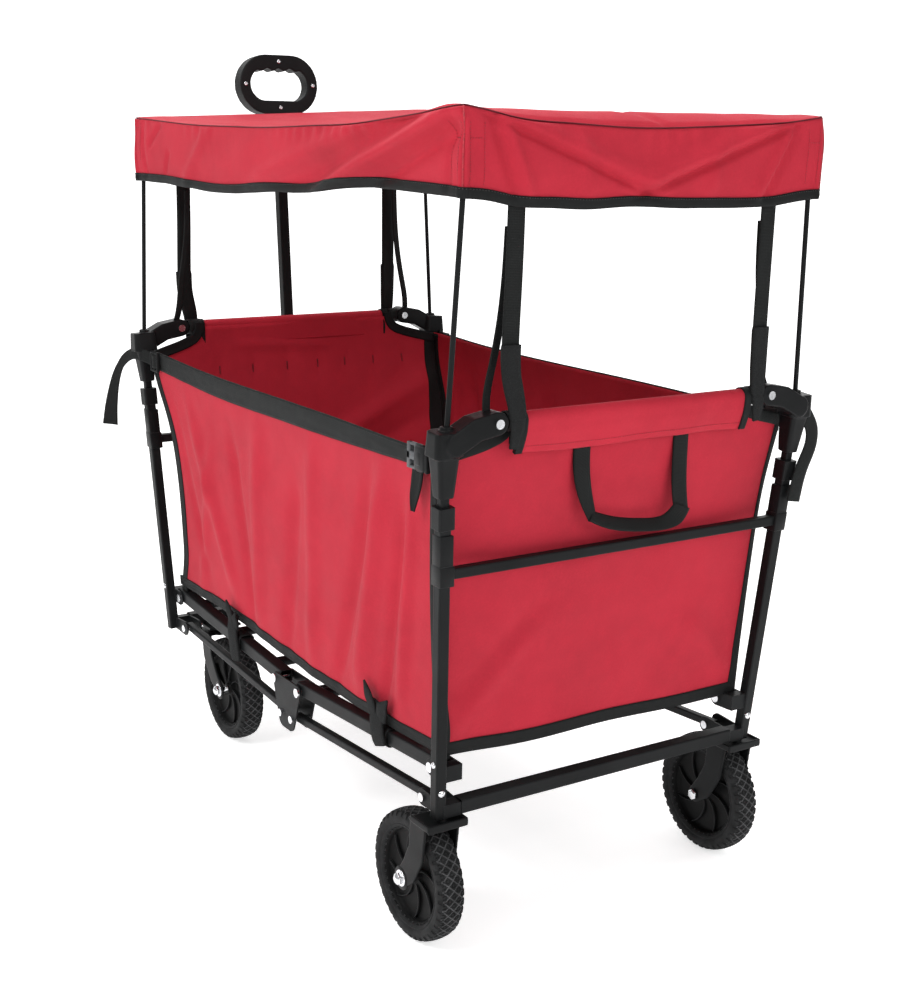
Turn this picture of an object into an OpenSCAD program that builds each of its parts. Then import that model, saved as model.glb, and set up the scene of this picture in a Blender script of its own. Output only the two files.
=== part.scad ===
// Folding pull wagon with a fabric tub, a canopy on four poles and a telescoping handle.
// Millimetres. +X is the way it is pulled, +Y its left side, +Z up. The origin is on the
// ground, midway between the four posts.

/* [Frame] */
// Half the distance between the front and rear posts, at the lower bars
post_x0 = 443; // [435:1:450]
// Half the distance between the left and right posts, at the lower bars
post_y0 = 265; // [262:1:268]
// Lean of the posts away from the middle, lengthwise, as a slope
lean_x = 0.0775; // [0.06:0.0005:0.09]
// Lean of the posts away from the middle, crosswise, as a slope
lean_y = 0.0489; // [0.04:0.0001:0.055]
// Height of the lower bars' middle
bar_z = 207; // [205:1:209]
// Height of the middle bars' middle
mid_bar_z = 534; // [500:1:560]
// Height of the top rails' middle
rail_z = 722; // [720:1:724]
// Distance from the wagon's middle to the top rails' axis
rail_x = 486; // [484:1:488]
// Distance from the centreline to the rivet that ends each bracket's arm
arm_rivet_y = 223; // [220:1:226]

/* [Folding linkage] */
// Distance from the wagon's middle to the rails' outer pivots
end_pivot_x = 418; // [414:1:420]
// Height of the rails' outer pivots
end_pivot_z = 256; // [253:1:257]
// Distance from the wagon's middle to the rails' inner pivots
mid_pivot_x = 38; // [36:1:40]
// Height of the rails' inner pivots
mid_pivot_z = 232; // [230:1:236]
// How far the rods' pivots lie inboard of the rails' pivots
link_dx = 20; // [18:1:20]
// How far the rods' pivots lie below the rails' pivots
link_dz = 50; // [48:1:51]
// Distance from the centreline to the middle of each rail and rod
link_y = 248; // [247:1:249]

/* [Wheels] */
// Radius of every wheel
wheel_r = 90; // [85:1:90]
// Width of every tyre
tyre_w = 40; // [34:1:40]
// Distance from the wagon's middle to the rear axles
rear_axle_x = 387; // [384:1:392]
// Distance from the centreline to the middle of each rear wheel
rear_wheel_y = 259; // [256:1:262]
// Distance from the wagon's middle to the front axles
front_axle_x = 373; // [370:1:376]
// Distance from the centreline to the middle of each front wheel
front_wheel_y = 183; // [178:1:186]
// Distance from the wagon's middle to the casters' swivel axes
swivel_x = 428; // [426:1:430]

/* [Canopy] */
// Half the canopy's length
canopy_x = 503; // [500:1:506]
// Half the canopy's width
canopy_y = 284; // [282:1:288]
// Height of the canopy's top
canopy_z = 1092; // [1040:1:1120]
// Height of the canopy's side flaps
valance_h = 114; // [80:1:120]

/* [Handle] */
// Distance from the wagon's middle to the handle's pivot
handle_x = 470; // [470:1:474]
// Height of the handle's pivot
handle_z = 215; // [213:1:217]
// Forward lean of the standing handle, degrees
handle_lean = 4.9; // [4.5:0.1:7]
// Distance along the shaft from its pivot to the grip's middle
grip_s = 921; // [880:1:940]
// Width of the grip
grip_w = 150; // [140:1:170]
// Height of the grip
grip_h = 102; // [96:1:110]

/* [Hidden] */
$fn = 48;

// colours
steel_black = [0.15, 0.16, 0.17];
plastic_black = [0.12, 0.12, 0.13];
webbing_black = [0.17, 0.18, 0.18];
rubber_black = [0.09, 0.09, 0.1];
fabric_red = [0.78, 0.2, 0.27];
rivet_chrome = [0.75, 0.76, 0.78];

// sections
post_w = 16;
neck_w = 12;
tube_wall = 1.4;
rail_w = 20;
rail_up = 4;
rod_w = 12;
low_bar_w = 20;
mid_bar_w = 14;
top_rail_r = 7;
fit = 0.2;
gap = 0.3;

// pins of the linkage
pin_r = 4;
rod_pin_r = 3;
head_h = 3;
plate_w = 2.5;

// posts
post_foot_z = 196;
neck_foot_z = 592;
post_top_z = 600;
neck_top_z = 672;
leg_foot_z = 634;
leg_top_z = 690;
ear_r = 12;
ear_half = 13.5;
ear_slot = 11;
ear_root_x = 436;
ear_top_z = 268;

// wheels and forks
tyre_inner_r = 68;
axle_r = 6;
fork_half = 27.5;
fork_slot = 23.5;
fork_top_z = 190;
fork_plate_h = 4;
fork_plate_half = 25;
caster_top_z = 185;

// fabric
cloth = 3;
tub_top_z = 688;
tub_foot_z = 285;
end_wall = [[430, 280, 249], [456, 534, 257], [473.5, 668, 261]];
sleeve_y = 188;

// handle
outer_tube_w = 22;
inner_tube_w = 18;
outer_tube_s = 424;
inner_tube_s = [372, 884];
collar_s = [398, 430];
button_s = 414;

function post_x(z) = post_x0 + (z - bar_z) * lean_x;
function post_y(z) = post_y0 + (z - bar_z) * lean_y;

// ---- placing -------------------------------------------------------------------------

module both_sides() {
    children();
    mirror([0, 1, 0]) children();
}

module rear_end() {
    mirror([1, 0, 0]) children();
}

// Puts children on the front left post's axis at height z, turned to its lean.
module on_post(z) {
    translate([post_x(z), post_y(z), z]) rotate([-atan(lean_y), atan(lean_x), 0]) children();
}

// Turns the child's +Z from p towards q in the XZ plane, and its +X upwards or outwards.
module along(p, q) {
    d = q - p;
    translate([p[0], 0, p[1]]) rotate([0, atan2(d[0], d[1]), 0]) children();
}

// Extrudes an outline drawn in X and Z over the stretch y0 to y1.
module across(y0, y1) {
    translate([0, y1, 0]) rotate([90, 0, 0]) linear_extrude(y1 - y0) children();
}

// Extrudes an outline drawn in Y and Z over the stretch x0 to x1.
module lengthwise(x0, x1) {
    translate([x0, 0, 0]) rotate([90, 0, 90]) linear_extrude(x1 - x0) children();
}

// A pin along Y over the stretch y0 to y1 at the point p of the XZ plane.
module pin_y(p, r, y0, y1) {
    translate([p[0], y0, p[1]]) rotate([-90, 0, 0]) cylinder(r = r, h = y1 - y0);
}

// A pin along X over the stretch x0 to x1 at the point p of the YZ plane.
module pin_x(p, r, x0, x1) {
    translate([x0, p[0], p[1]]) rotate([0, 90, 0]) cylinder(r = r, h = x1 - x0);
}

// A box given by its lowest and highest corners.
module block(low, high) {
    translate(low) cube(high - low);
}

// ---- sections ------------------------------------------------------------------------

// Square with corners rounded in three points.
module soft_square(w, d, r) {
    corner = [[1, 1], [-1, 1], [-1, -1], [1, -1]];
    polygon([for (i = [0:3], a = [0, 45, 90])
        [corner[i][0] * (w / 2 - r), corner[i][1] * (d / 2 - r)]
        + r * [cos(90 * i + a), sin(90 * i + a)]]);
}

// Square tube standing on the XY plane.
module tube(w, h, wall, d = 0) {
    depth = d == 0 ? w : d;
    difference() {
        linear_extrude(h) soft_square(w, depth, 2);
        translate([0, 0, -1]) linear_extrude(h + 2) square([w - 2 * wall, depth - 2 * wall], center = true);
    }
}

module rivet_y(p, r, y0, y1) {
    pin_y(p, r, y0 - head_h, y1 + head_h);
    pin_y(p, r + 3, y0 - head_h, y0);
    pin_y(p, r + 3, y1, y1 + head_h);
}

// ---- one end of the frame, drawn at the front ------------------------------------------

rail_pivot = [end_pivot_x, end_pivot_z];
rod_pivot = [end_pivot_x - link_dx, end_pivot_z - link_dz];
rail_mid = [mid_pivot_x, mid_pivot_z];
rod_mid = [mid_pivot_x - link_dx, mid_pivot_z - link_dz];

module post_and_ear() {
    foot = (post_top_z - post_foot_z) / cos(atan(lean_x));
    neck = (neck_top_z - neck_foot_z) / cos(atan(lean_x));
    difference() {
        union() {
            on_post(post_foot_z) linear_extrude(foot) soft_square(post_w, post_w, 2);
            on_post(neck_foot_z) linear_extrude(neck) soft_square(neck_w, neck_w, 2);
            across(link_y - ear_half, link_y + ear_half) hull() {
                translate(rail_pivot) circle(r = ear_r, $fn = 32);
                translate([ear_root_x, ear_top_z - 22]) square([16, 22]);
            }
            across(link_y - ear_half, link_y + ear_half) hull() {
                translate(rod_pivot) circle(r = ear_r, $fn = 32);
                translate([ear_root_x, post_foot_z]) square([16, 18]);
            }
        }
        block([ear_root_x - 60, link_y - ear_slot, 180], [ear_root_x, link_y + ear_slot, 280]);
        pin_y(rail_pivot, pin_r + 0.1, link_y - 20, link_y + 20);
        pin_y(rod_pivot, rod_pin_r + 0.1, link_y - 20, link_y + 20);
        on_post(post_foot_z + 12) linear_extrude(foot - 12 - 4)
            square(post_w - 2 * tube_wall, center = true);
    }
}

module posts() {
    color(steel_black) both_sides() post_and_ear();
}

module lower_bar() {
    reach = link_y - ear_half - 0.1;
    color(steel_black) translate([post_x0, reach, bar_z]) rotate([90, 0, 0])
        tube(low_bar_w, 2 * reach, tube_wall);
}

module mid_bar() {
    reach = post_y(mid_bar_z) - post_w / 2 - 0.7;
    color(steel_black) translate([post_x(mid_bar_z), reach, mid_bar_z]) rotate([90, 0, 0])
        tube(mid_bar_w, 2 * reach, tube_wall);
}

module top_rail() {
    color(steel_black) difference() {
        pin_y([rail_x, rail_z], top_rail_r, -arm_rivet_y - 6, arm_rivet_y + 6);
        pin_y([rail_x, rail_z], top_rail_r - tube_wall, -arm_rivet_y - 7, arm_rivet_y + 7);
        both_sides() pin_x([arm_rivet_y, rail_z], 3.2, rail_x - 20, rail_x + 20);
    }
}

module collars() {
    color(plastic_black) both_sides() difference() {
        on_post(post_top_z - 6) linear_extrude(28) soft_square(23, 23, 3);
        on_post(post_top_z - 8) linear_extrude(8.5) square(post_w + fit, center = true);
        on_post(post_top_z - 1) linear_extrude(30) square(neck_w + fit, center = true);
    }
}

// Moulded corner: a leg over the post's neck, a block that takes the canopy pole, and an
// arched arm that ends at the top rail's rivet.
module corner_bracket() {
    arm_y = [arm_rivet_y, 252, 282];
    arm_z = [rail_z, rail_z - 5, rail_z - 21];
    color(plastic_black) difference() {
        union() {
            hull() {
                on_post(leg_foot_z) linear_extrude(1) soft_square(21, 21, 4);
                on_post(leg_top_z) linear_extrude(1) soft_square(31, 31, 5);
            }
            hull() {
                on_post(leg_top_z - 4) linear_extrude(1) soft_square(34, 40, 6);
                on_post(716) linear_extrude(1) soft_square(30, 36, 6);
            }
            translate([482, 287, 700]) cylinder(r = 8, h = 22);
            for (i = [0, 1]) hull() {
                pin_x([arm_y[i], arm_z[i]], 14.5, rail_x - 14, rail_x + 14, $fn = 32);
                pin_x([arm_y[i + 1], arm_z[i + 1]], 14.5, rail_x - 14, rail_x + 14, $fn = 32);
            }
        }
        pin_x([arm_rivet_y, rail_z], 3.2, rail_x - 20, rail_x + 20);
        pin_y([rail_x, rail_z], top_rail_r + fit, arm_rivet_y - 20, arm_rivet_y + 7);
        translate([482, 287, 702]) cylinder(r = 4.6, h = 30);
        on_post(leg_foot_z - 4) linear_extrude(neck_top_z - leg_foot_z + 6)
            square(neck_w + fit, center = true);
    }
}

module end_rivets() {
    color(rivet_chrome) both_sides() {
        rivet_y(rail_pivot, pin_r, link_y - ear_half, link_y + ear_half);
        rivet_y(rod_pivot, rod_pin_r, link_y - ear_half, link_y + ear_half);
        pin_x([arm_rivet_y, rail_z], 3, rail_x - 17, rail_x + 17);
        pin_x([arm_rivet_y, rail_z], 6, rail_x + 14, rail_x + 17);
        pin_x([arm_rivet_y, rail_z], 6, rail_x - 17, rail_x - 14);
    }
}

module canopy_poles() {
    foot = [482, 287, 704];
    head = [493, 272.5, canopy_z - 30];
    run = head - foot;
    color(steel_black) both_sides() translate(foot)
        rotate([0, acos(run[2] / norm(run)), atan2(run[1], run[0])]) cylinder(r = 3.4, h = norm(run));
}

// End wall of the tub: a panel that leans with the posts, a sleeve over the top rail and
// the flap that hangs outside it.
module tub_end() {
    color(fabric_red) {
        for (i = [0, 1]) hull() {
            for (p = [end_wall[i], end_wall[i + 1]])
                block([p[0] - cloth, -p[2], p[1] - 1], [p[0], p[2], p[1]]);
        }
        hull() {
            block([end_wall[2][0] - cloth, -sleeve_y, end_wall[2][1] - 2],
                  [end_wall[2][0], sleeve_y, end_wall[2][1]]);
            block([rail_x - 10, -sleeve_y, rail_z - 6], [rail_x - 8, sleeve_y, rail_z]);
        }
        difference() {
            pin_y([rail_x, rail_z], top_rail_r + cloth, -sleeve_y, sleeve_y);
            pin_y([rail_x, rail_z], top_rail_r + gap, -sleeve_y - 1, sleeve_y + 1);
        }
        block([rail_x + 8, -sleeve_y, rail_z - 42], [rail_x + 10, sleeve_y, rail_z]);
    }
}

// Webbing that ties the canopy to the top rail beside each bracket.
module canopy_straps() {
    color(webbing_black) both_sides() {
        hull() {
            block([482, 189, canopy_z - 104], [484, 217, canopy_z - 100]);
            block([485, 190, rail_z + 9], [487, 206, rail_z + 13]);
        }
        difference() {
            pin_y([rail_x, rail_z], top_rail_r + 2.8, 190, 206);
            pin_y([rail_x, rail_z], top_rail_r + gap, 188, 208);
        }
    }
}

// ---- wheels and forks ------------------------------------------------------------------

// Forked bracket about y = 0: its plate is centred at x0, its legs start at leg_x and end at
// the axle at x1, and its plate has a hole for a king pin if stem_r isn't 0.
module fork(x0, leg_x, x1, top_z, stem_r) {
    // middle, height and radius of the legs' outline, from the top down
    outline = [
        [leg_x + (x1 - leg_x) * 0.12, 140, 18],
        [leg_x + (x1 - leg_x) * 0.55, 108, 17],
        [x1, wheel_r, 13],
    ];
    color(steel_black) difference() {
        union() {
            block([x0 - fork_plate_half, -31, top_z - fork_plate_h], [x0 + fork_plate_half, 31, top_z]);
            across(-fork_half, fork_half) hull() {
                translate([leg_x - 19, top_z - 7]) square([38, 6]);
                translate([outline[0][0], outline[0][1]]) circle(r = outline[0][2], $fn = 32);
            }
            for (i = [0, 1]) across(-fork_half, fork_half) hull() {
                for (c = [outline[i], outline[i + 1]])
                    translate([c[0], c[1]]) circle(r = c[2], $fn = 32);
            }
        }
        block([x0 - 100, -fork_slot, 60], [x0 + 100, fork_slot, top_z - fork_plate_h]);
        pin_y([x1, wheel_r], axle_r + 0.1, -40, 40);
        if (stem_r > 0) translate([x0, 0, top_z - 20]) cylinder(r = stem_r, h = 30);
    }
}

// Bolt with domed ends through a fork.
module axle_bolt() {
    rivet_y([0, 0], axle_r, -fork_half - 0.1, fork_half + 0.1);
}

module tyre() {
    r = wheel_r;
    w = tyre_w / 2;
    color(rubber_black) rotate([90, 0, 0]) rotate_extrude($fn = 96) polygon([
        [tyre_inner_r, -w + 3], [tyre_inner_r + 4, -w + 1], [r - 12, -w], [r - 5, -w + 2],
        [r - 1, -w + 7], [r, -w + 13], [r, w - 13], [r - 1, w - 7], [r - 5, w - 2],
        [r - 12, w], [tyre_inner_r + 4, w - 1], [tyre_inner_r, w - 3]]);
}

// Rim, boss and a web with eight ribs set tangent to the boss. The bore runs on the axle.
module hub() {
    rim = tyre_inner_r - 0.1;
    ribs = 8;
    color(plastic_black) rotate([90, 0, 0]) difference() {
        union() {
            rotate_extrude($fn = 96) polygon([
                [10, -3], [rim - 7, -3], [rim - 7, -16], [rim, -17], [rim, 17], [rim - 7, 16],
                [rim - 7, 3], [10, 3]]);
            cylinder(r = 17, h = 46, center = true);
            for (i = [0:ribs - 1]) rotate([0, 0, 360 / ribs * i])
                block([10, 6, -9], [rim - 3.5, 9, 9]);
        }
        cylinder(r = axle_r + 0.1, h = 60, center = true);
    }
}

// ---- linkage, drawn at the front ---------------------------------------------------------

module rail_pair() {
    run = norm(rail_mid - rail_pivot);
    color(steel_black) both_sides() difference() {
        translate([0, link_y, 0]) along(rail_pivot, rail_mid) translate([rail_up, 0, -10])
            tube(rail_w, run + 20, tube_wall);
        pin_y(rail_pivot, pin_r + gap, link_y - 20, link_y + 20);
        pin_y(rail_mid, pin_r + gap, link_y - 20, link_y + 20);
    }
}

module rod_pair() {
    run = norm(rod_mid - rod_pivot);
    color(steel_black) both_sides() difference() {
        translate([0, link_y, 0]) along(rod_pivot, rod_mid) translate([0, 0, -9])
            tube(rod_w, run + 18, tube_wall);
        pin_y(rod_pivot, rod_pin_r + gap, link_y - 20, link_y + 20);
        pin_y(rod_mid, rod_pin_r + gap, link_y - 20, link_y + 20);
    }
}

// Cross tubes that join the left and right rails and carry the floor.
module floor_tubes() {
    reach = link_y - rail_w / 2 - 0.2;
    color(steel_black) along(rail_pivot, rail_mid) for (u = [60, 200, 340]) translate([rail_up + 2, 0, u])
        rotate([90, 0, 0]) difference() {
            cylinder(r = 8, h = 2 * reach, center = true);
            cylinder(r = 8 - tube_wall, h = 2 * reach + 2, center = true);
        }
}

// Stiff fabric-covered floor panel on the cross tubes.
module floor_board() {
    color(fabric_red) along(rail_pivot, rail_mid) block([15.5, -195, 44], [20.5, 195, 405]);
}

module center_frame() {
    half = 15;
    color(steel_black) {
        both_sides() difference() {
            across(link_y - half, link_y + half) hull() {
                for (s = [-1, 1]) {
                    translate([s * 37, 233]) circle(r = 9, $fn = 32);
                    translate([s * 11, 176]) circle(r = 15, $fn = 32);
                }
            }
            block([-60, link_y - half + plate_w, 150], [60, link_y + half - plate_w, 260]);
            for (s = [-1, 1]) {
                pin_y([s * rail_mid[0], rail_mid[1]], pin_r + 0.1, 200, 300);
                pin_y([s * rod_mid[0], rod_mid[1]], rod_pin_r + 0.1, 200, 300);
            }
        }
        difference() {
            pin_y([0, 212], 8, -link_y + half - 0.2, link_y - half + 0.2);
            pin_y([0, 212], 8 - tube_wall, -link_y + half - 1, link_y - half + 1);
        }
    }
}

module center_rivets() {
    color(rivet_chrome) both_sides() for (s = [-1, 1]) {
        rivet_y([s * rail_mid[0], rail_mid[1]], pin_r, link_y - 15, link_y + 15);
        rivet_y([s * rod_mid[0], rod_mid[1]], rod_pin_r, link_y - 15, link_y + 15);
    }
}

// Loop of webbing round the middle cross tube: pulling it up folds the wagon.
module fold_strap() {
    color(webbing_black) difference() {
        block([-11, -16, 200], [11, 16, 296]);
        block([-8.5, -17, 202.5], [8.5, 17, 293]);
    }
}

// ---- front frame -------------------------------------------------------------------------

module caster_mounts() {
    color(steel_black) both_sides() translate([swivel_x, front_wheel_y, 0]) {
        block([-26, -30, 192.9], [25, 30, 196.9]);
        translate([0, 0, 186]) cylinder(r = 20, h = 8);
        translate([0, 0, 176]) cylinder(r = 5, h = 18);
        translate([0, 0, 174]) cylinder(r = 9, h = 6.4);
        translate([0, 0, 196]) cylinder(r = 4.8, h = 5, $fn = 6);
    }
}

module handle_bracket() {
    front = post_x0 + low_bar_w / 2 + 0.1;
    pivot = [handle_x, handle_z];
    color(steel_black) difference() {
        across(-16.5, 16.5) hull() {
            translate(pivot) circle(r = 13, $fn = 32);
            translate([front, bar_z - 9]) square([3, 30]);
        }
        block([front + 2.5, -12.8, 180], [front + 60, 12.8, 250]);
        pin_y(pivot, pin_r + 0.1, -30, 30);
    }
}

module front_rivets() {
    end_rivets();
    color(rivet_chrome) rivet_y([handle_x, handle_z], pin_r, -16.6, 16.6);
}

// Ladder-lock and loose end of the side webbing.
module strap_adjusters() {
    color(plastic_black) both_sides() {
        block([419, 284.4, 656], [449, 291, 690]);
        block([426, 290, 680], [448, 318, 682]);
        block([426, 316, 590], [448, 318, 682]);
    }
}

// ---- handle --------------------------------------------------------------------------------

module on_handle() {
    translate([handle_x, 0, handle_z]) rotate([0, handle_lean, 0]) children();
}

module handle_lower_tube() {
    color(steel_black) on_handle() difference() {
        union() {
            pin_y([0, 0], 12, -11, 11);
            linear_extrude(outer_tube_s) soft_square(outer_tube_w, outer_tube_w, 2.5);
            translate([0, 0, collar_s[0]]) linear_extrude(collar_s[1] - collar_s[0])
                soft_square(29, 29, 5);
        }
        translate([0, 0, 30]) linear_extrude(collar_s[1])
            square(inner_tube_w + 2 * fit, center = true);
        pin_y([0, 0], pin_r + gap, -20, 20);
        pin_x([0, button_s], 6, 10, 20);
    }
}

module handle_upper_tube() {
    color(steel_black) on_handle() translate([0, 0, inner_tube_s[0]])
        tube(inner_tube_w, inner_tube_s[1] - inner_tube_s[0], 1.5);
}

module stadium(w, h) {
    hull() for (s = [-1, 1]) translate([s * (w - h) / 2, 0]) circle(d = h, $fn = 64);
}

// Loop grip, crosswise, on the end of the inner tube.
module handle_grip() {
    color(plastic_black) on_handle() difference() {
        union() {
            translate([0, 0, grip_s]) lengthwise(-14, 14) stadium(grip_w, grip_h);
            translate([0, 0, grip_s - grip_h / 2 - 14]) linear_extrude(26) soft_square(27, 30, 5);
        }
        translate([0, 0, grip_s]) lengthwise(-15, 15) stadium(111, 55);
        translate([0, 0, grip_s - grip_h / 2 - 20])
            linear_extrude(inner_tube_s[1] - grip_s + grip_h / 2 + 20.3)
            square(inner_tube_w + fit, center = true);
    }
}

module handle_lock_button() {
    color(plastic_black) on_handle() pin_x([0, button_s], 5.6, 12.3, 16.5);
}

// ---- rear frame ----------------------------------------------------------------------------

// Side walls of the tub.
module tub_sides() {
    color(fabric_red) both_sides() hull() {
        block([-458, 281, tub_top_z - 2], [458, 284, tub_top_z]);
        block([-430, 251, tub_foot_z], [430, 254, tub_foot_z + 2]);
    }
}

module side_webbing() {
    color(webbing_black) both_sides() block([-399, 284.4, 657], [418, 286.6, 689]);
}

module rear_buckles() {
    color(plastic_black) both_sides() {
        block([-446, 284.4, 657], [-400, 295, 689]);
        block([-462, 285, 660], [-446, 287, 686]);
        block([-460, 296, 560], [-438, 298, 670]);
        block([-460, 294, 668], [-438, 298, 670]);
    }
}

// Hanging U of webbing on the rear wall.
module carry_strap() {
    band = 25;
    color(webbing_black) lengthwise(-477, -474.5) difference() {
        hull() {
            translate([-105, 668]) square([194, 4]);
            for (y = [-85, 69]) translate([y, 562]) circle(r = 20, $fn = 32);
        }
        hull() {
            translate([-105 + band, 668]) square([194 - 2 * band, 5]);
            for (y = [-72, 56]) translate([y, 575]) circle(r = 8, $fn = 32);
        }
    }
}

module canopy_cover() {
    color(fabric_red) difference() {
        block([-canopy_x, -canopy_y, canopy_z - valance_h], [canopy_x, canopy_y, canopy_z]);
        block([-canopy_x + cloth, -canopy_y + cloth, canopy_z - valance_h - 1],
              [canopy_x - cloth, canopy_y - cloth, canopy_z - cloth]);
    }
}

module rear_fork() {
    fork(-(rear_axle_x + 48), -(rear_axle_x + 40), -rear_axle_x, fork_top_z, 0);
    color(steel_black) translate([-post_x(post_foot_z), 0, fork_top_z - 1])
        cylinder(r = 7, h = post_foot_z - fork_top_z - 0.5);
}

module side(y) {
    translate([0, y, 0]) children();
}

module wheel_at(x, y) {
    translate([x, y, wheel_r]) children();
}

rear_end() posts();  // rear_posts
rear_end() lower_bar();  // rear_lower_bar
rear_end() mid_bar();  // rear_mid_bar
rear_end() top_rail();  // rear_top_rail
rear_end() corner_bracket();  // rear_bracket_left
rear_end() mirror([0, 1, 0]) corner_bracket();  // rear_bracket_right
rear_end() collars();  // rear_post_collars
side(rear_wheel_y) rear_fork();  // rear_fork_left
side(-rear_wheel_y) rear_fork();  // rear_fork_right
color(rivet_chrome) both_sides() wheel_at(-rear_axle_x, rear_wheel_y) axle_bolt();  // rear_axles
rear_end() end_rivets();  // rear_rivets
rear_end() canopy_poles();  // rear_canopy_poles
rear_end() tub_end();  // tub_end_rear
carry_strap();
rear_end() canopy_straps();  // rear_canopy_straps
tub_sides();
side_webbing();
canopy_cover();
rear_buckles();
posts();  // front_posts
lower_bar();  // front_lower_bar
mid_bar();  // front_mid_bar
top_rail();  // front_top_rail
corner_bracket();  // front_bracket_left
mirror([0, 1, 0]) corner_bracket();  // front_bracket_right
collars();  // front_post_collars
front_rivets();
canopy_poles();  // front_canopy_poles
tub_end();  // tub_end_front
canopy_straps();  // front_canopy_straps
caster_mounts();
handle_bracket();
strap_adjusters();
side(front_wheel_y) fork(swivel_x, swivel_x, front_axle_x, caster_top_z, 5 + gap);  // caster_fork_left
side(-front_wheel_y) fork(swivel_x, swivel_x, front_axle_x, caster_top_z, 5 + gap);  // caster_fork_right
color(rivet_chrome) wheel_at(front_axle_x, front_wheel_y) axle_bolt();  // caster_axle_left
color(rivet_chrome) wheel_at(front_axle_x, -front_wheel_y) axle_bolt();  // caster_axle_right
wheel_at(-rear_axle_x, rear_wheel_y) tyre();  // rear_tyre_left
wheel_at(-rear_axle_x, -rear_wheel_y) tyre();  // rear_tyre_right
wheel_at(-rear_axle_x, rear_wheel_y) hub();  // rear_hub_left
wheel_at(-rear_axle_x, -rear_wheel_y) hub();  // rear_hub_right
wheel_at(front_axle_x, front_wheel_y) tyre();  // front_tyre_left
wheel_at(front_axle_x, -front_wheel_y) tyre();  // front_tyre_right
wheel_at(front_axle_x, front_wheel_y) hub();  // front_hub_left
wheel_at(front_axle_x, -front_wheel_y) hub();  // front_hub_right
rear_end() rail_pair();  // rear_rails
rail_pair();  // front_rails
rear_end() rod_pair();  // rear_rods
rod_pair();  // front_rods
center_frame();
center_rivets();
rear_end() floor_tubes();  // rear_floor_tubes
floor_tubes();  // front_floor_tubes
rear_end() floor_board();  // floor_board_rear
floor_board();  // floor_board_front
fold_strap();
handle_lower_tube();
handle_upper_tube();
handle_grip();
handle_lock_button();
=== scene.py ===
import math

import bmesh
import bpy
import numpy as np
from mathutils import Matrix, Vector, noise


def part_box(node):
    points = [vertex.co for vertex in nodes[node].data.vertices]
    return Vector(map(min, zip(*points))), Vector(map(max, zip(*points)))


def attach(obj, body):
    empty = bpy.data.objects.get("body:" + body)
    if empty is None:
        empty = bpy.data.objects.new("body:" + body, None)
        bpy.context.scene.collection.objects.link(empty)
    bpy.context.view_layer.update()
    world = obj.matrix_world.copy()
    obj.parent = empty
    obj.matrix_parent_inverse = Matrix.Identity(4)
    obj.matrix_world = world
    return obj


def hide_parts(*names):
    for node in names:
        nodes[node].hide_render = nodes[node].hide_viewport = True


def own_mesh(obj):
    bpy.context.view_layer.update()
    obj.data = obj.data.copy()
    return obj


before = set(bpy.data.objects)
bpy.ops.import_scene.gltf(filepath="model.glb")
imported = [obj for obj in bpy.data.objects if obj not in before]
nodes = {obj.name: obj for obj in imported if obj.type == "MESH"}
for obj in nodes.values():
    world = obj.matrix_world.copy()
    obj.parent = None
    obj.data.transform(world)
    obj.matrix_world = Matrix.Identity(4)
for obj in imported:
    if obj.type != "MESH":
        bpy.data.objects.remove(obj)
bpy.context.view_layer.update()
scene = bpy.context.scene

# ---- driving values, in metres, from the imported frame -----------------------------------

rail_low, rail_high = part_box("front_top_rail")
RAIL_X = (rail_low.x + rail_high.x) / 2
RAIL_Z = (rail_low.z + rail_high.z) / 2
CX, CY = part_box("canopy_cover")[1][:2]  # half length and half width of the canopy
POST_X0, POST_Y0, BAR_Z = 0.443, 0.265, 0.207  # a post's axis at the height of the lower bar
LEAN_X, LEAN_Y = 0.0775, 0.0489  # how far a post leans outwards for each metre of height
POST_HALF = 0.008
OUTER_X, OUTER_Z = 0.418, 0.256  # the rails' outer pivots
INNER_X, RAIL_SLOPE = 0.038, 0.0632  # the rails' inner pivots, and their rise towards the ends
SLEEVE_Y = 0.188  # half the width of the end walls' sleeves
HANDLE_PIVOT = Vector((0.47, 0, 0.215))
HANDLE_LEAN = math.radians(4.9)
GRIP_S = 0.921  # from the handle's pivot to the middle of the grip
CLOTH = 0.0014  # thickness of the red fabric
TAU = 2 * math.pi
ENDS, SIDES = (("rear", -1), ("front", 1)), (("left", 1), ("right", -1))  # with their signs of x and y


def post_at(z, sx=1, sy=1):
    """A point on the axis of the post at the sx, sy corner."""
    return np.array([sx * (POST_X0 + (z - BAR_Z) * LEAN_X), sy * (POST_Y0 + (z - BAR_Z) * LEAN_Y), z])


# ---- number helpers ------------------------------------------------------------------------


def table(pairs):
    """A smooth function through (x, y) pairs, by a natural cubic spline."""
    pairs = sorted(pairs)
    x, y = (np.array(v, float) for v in zip(*pairs))
    n, h = len(x), np.diff(x)
    a, b = np.zeros((n, n)), np.zeros(n)
    a[0, 0] = a[-1, -1] = 1
    for i in range(1, n - 1):
        a[i, i - 1 : i + 2] = h[i - 1], 2 * (h[i - 1] + h[i]), h[i]
        b[i] = 6 * ((y[i + 1] - y[i]) / h[i] - (y[i] - y[i - 1]) / h[i - 1])
    m = np.linalg.solve(a, b)

    def at(v):
        v = np.clip(np.asarray(v, float), x[0], x[-1])
        i = np.clip(np.searchsorted(x, v) - 1, 0, n - 2)
        l, r = v - x[i], x[i + 1] - v
        return (
            (m[i] * r**3 + m[i + 1] * l**3) / (6 * h[i])
            + (y[i] / h[i] - m[i] * h[i] / 6) * r
            + (y[i + 1] / h[i] - m[i + 1] * h[i] / 6) * l
        )

    return at


def lengths(path):
    """Distance along a path at each of its points."""
    return np.concatenate([[0], np.cumsum(np.linalg.norm(np.diff(path, axis=0), axis=1))])


def unit(vectors):
    return vectors / np.linalg.norm(vectors, axis=1)[:, None]


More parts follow.
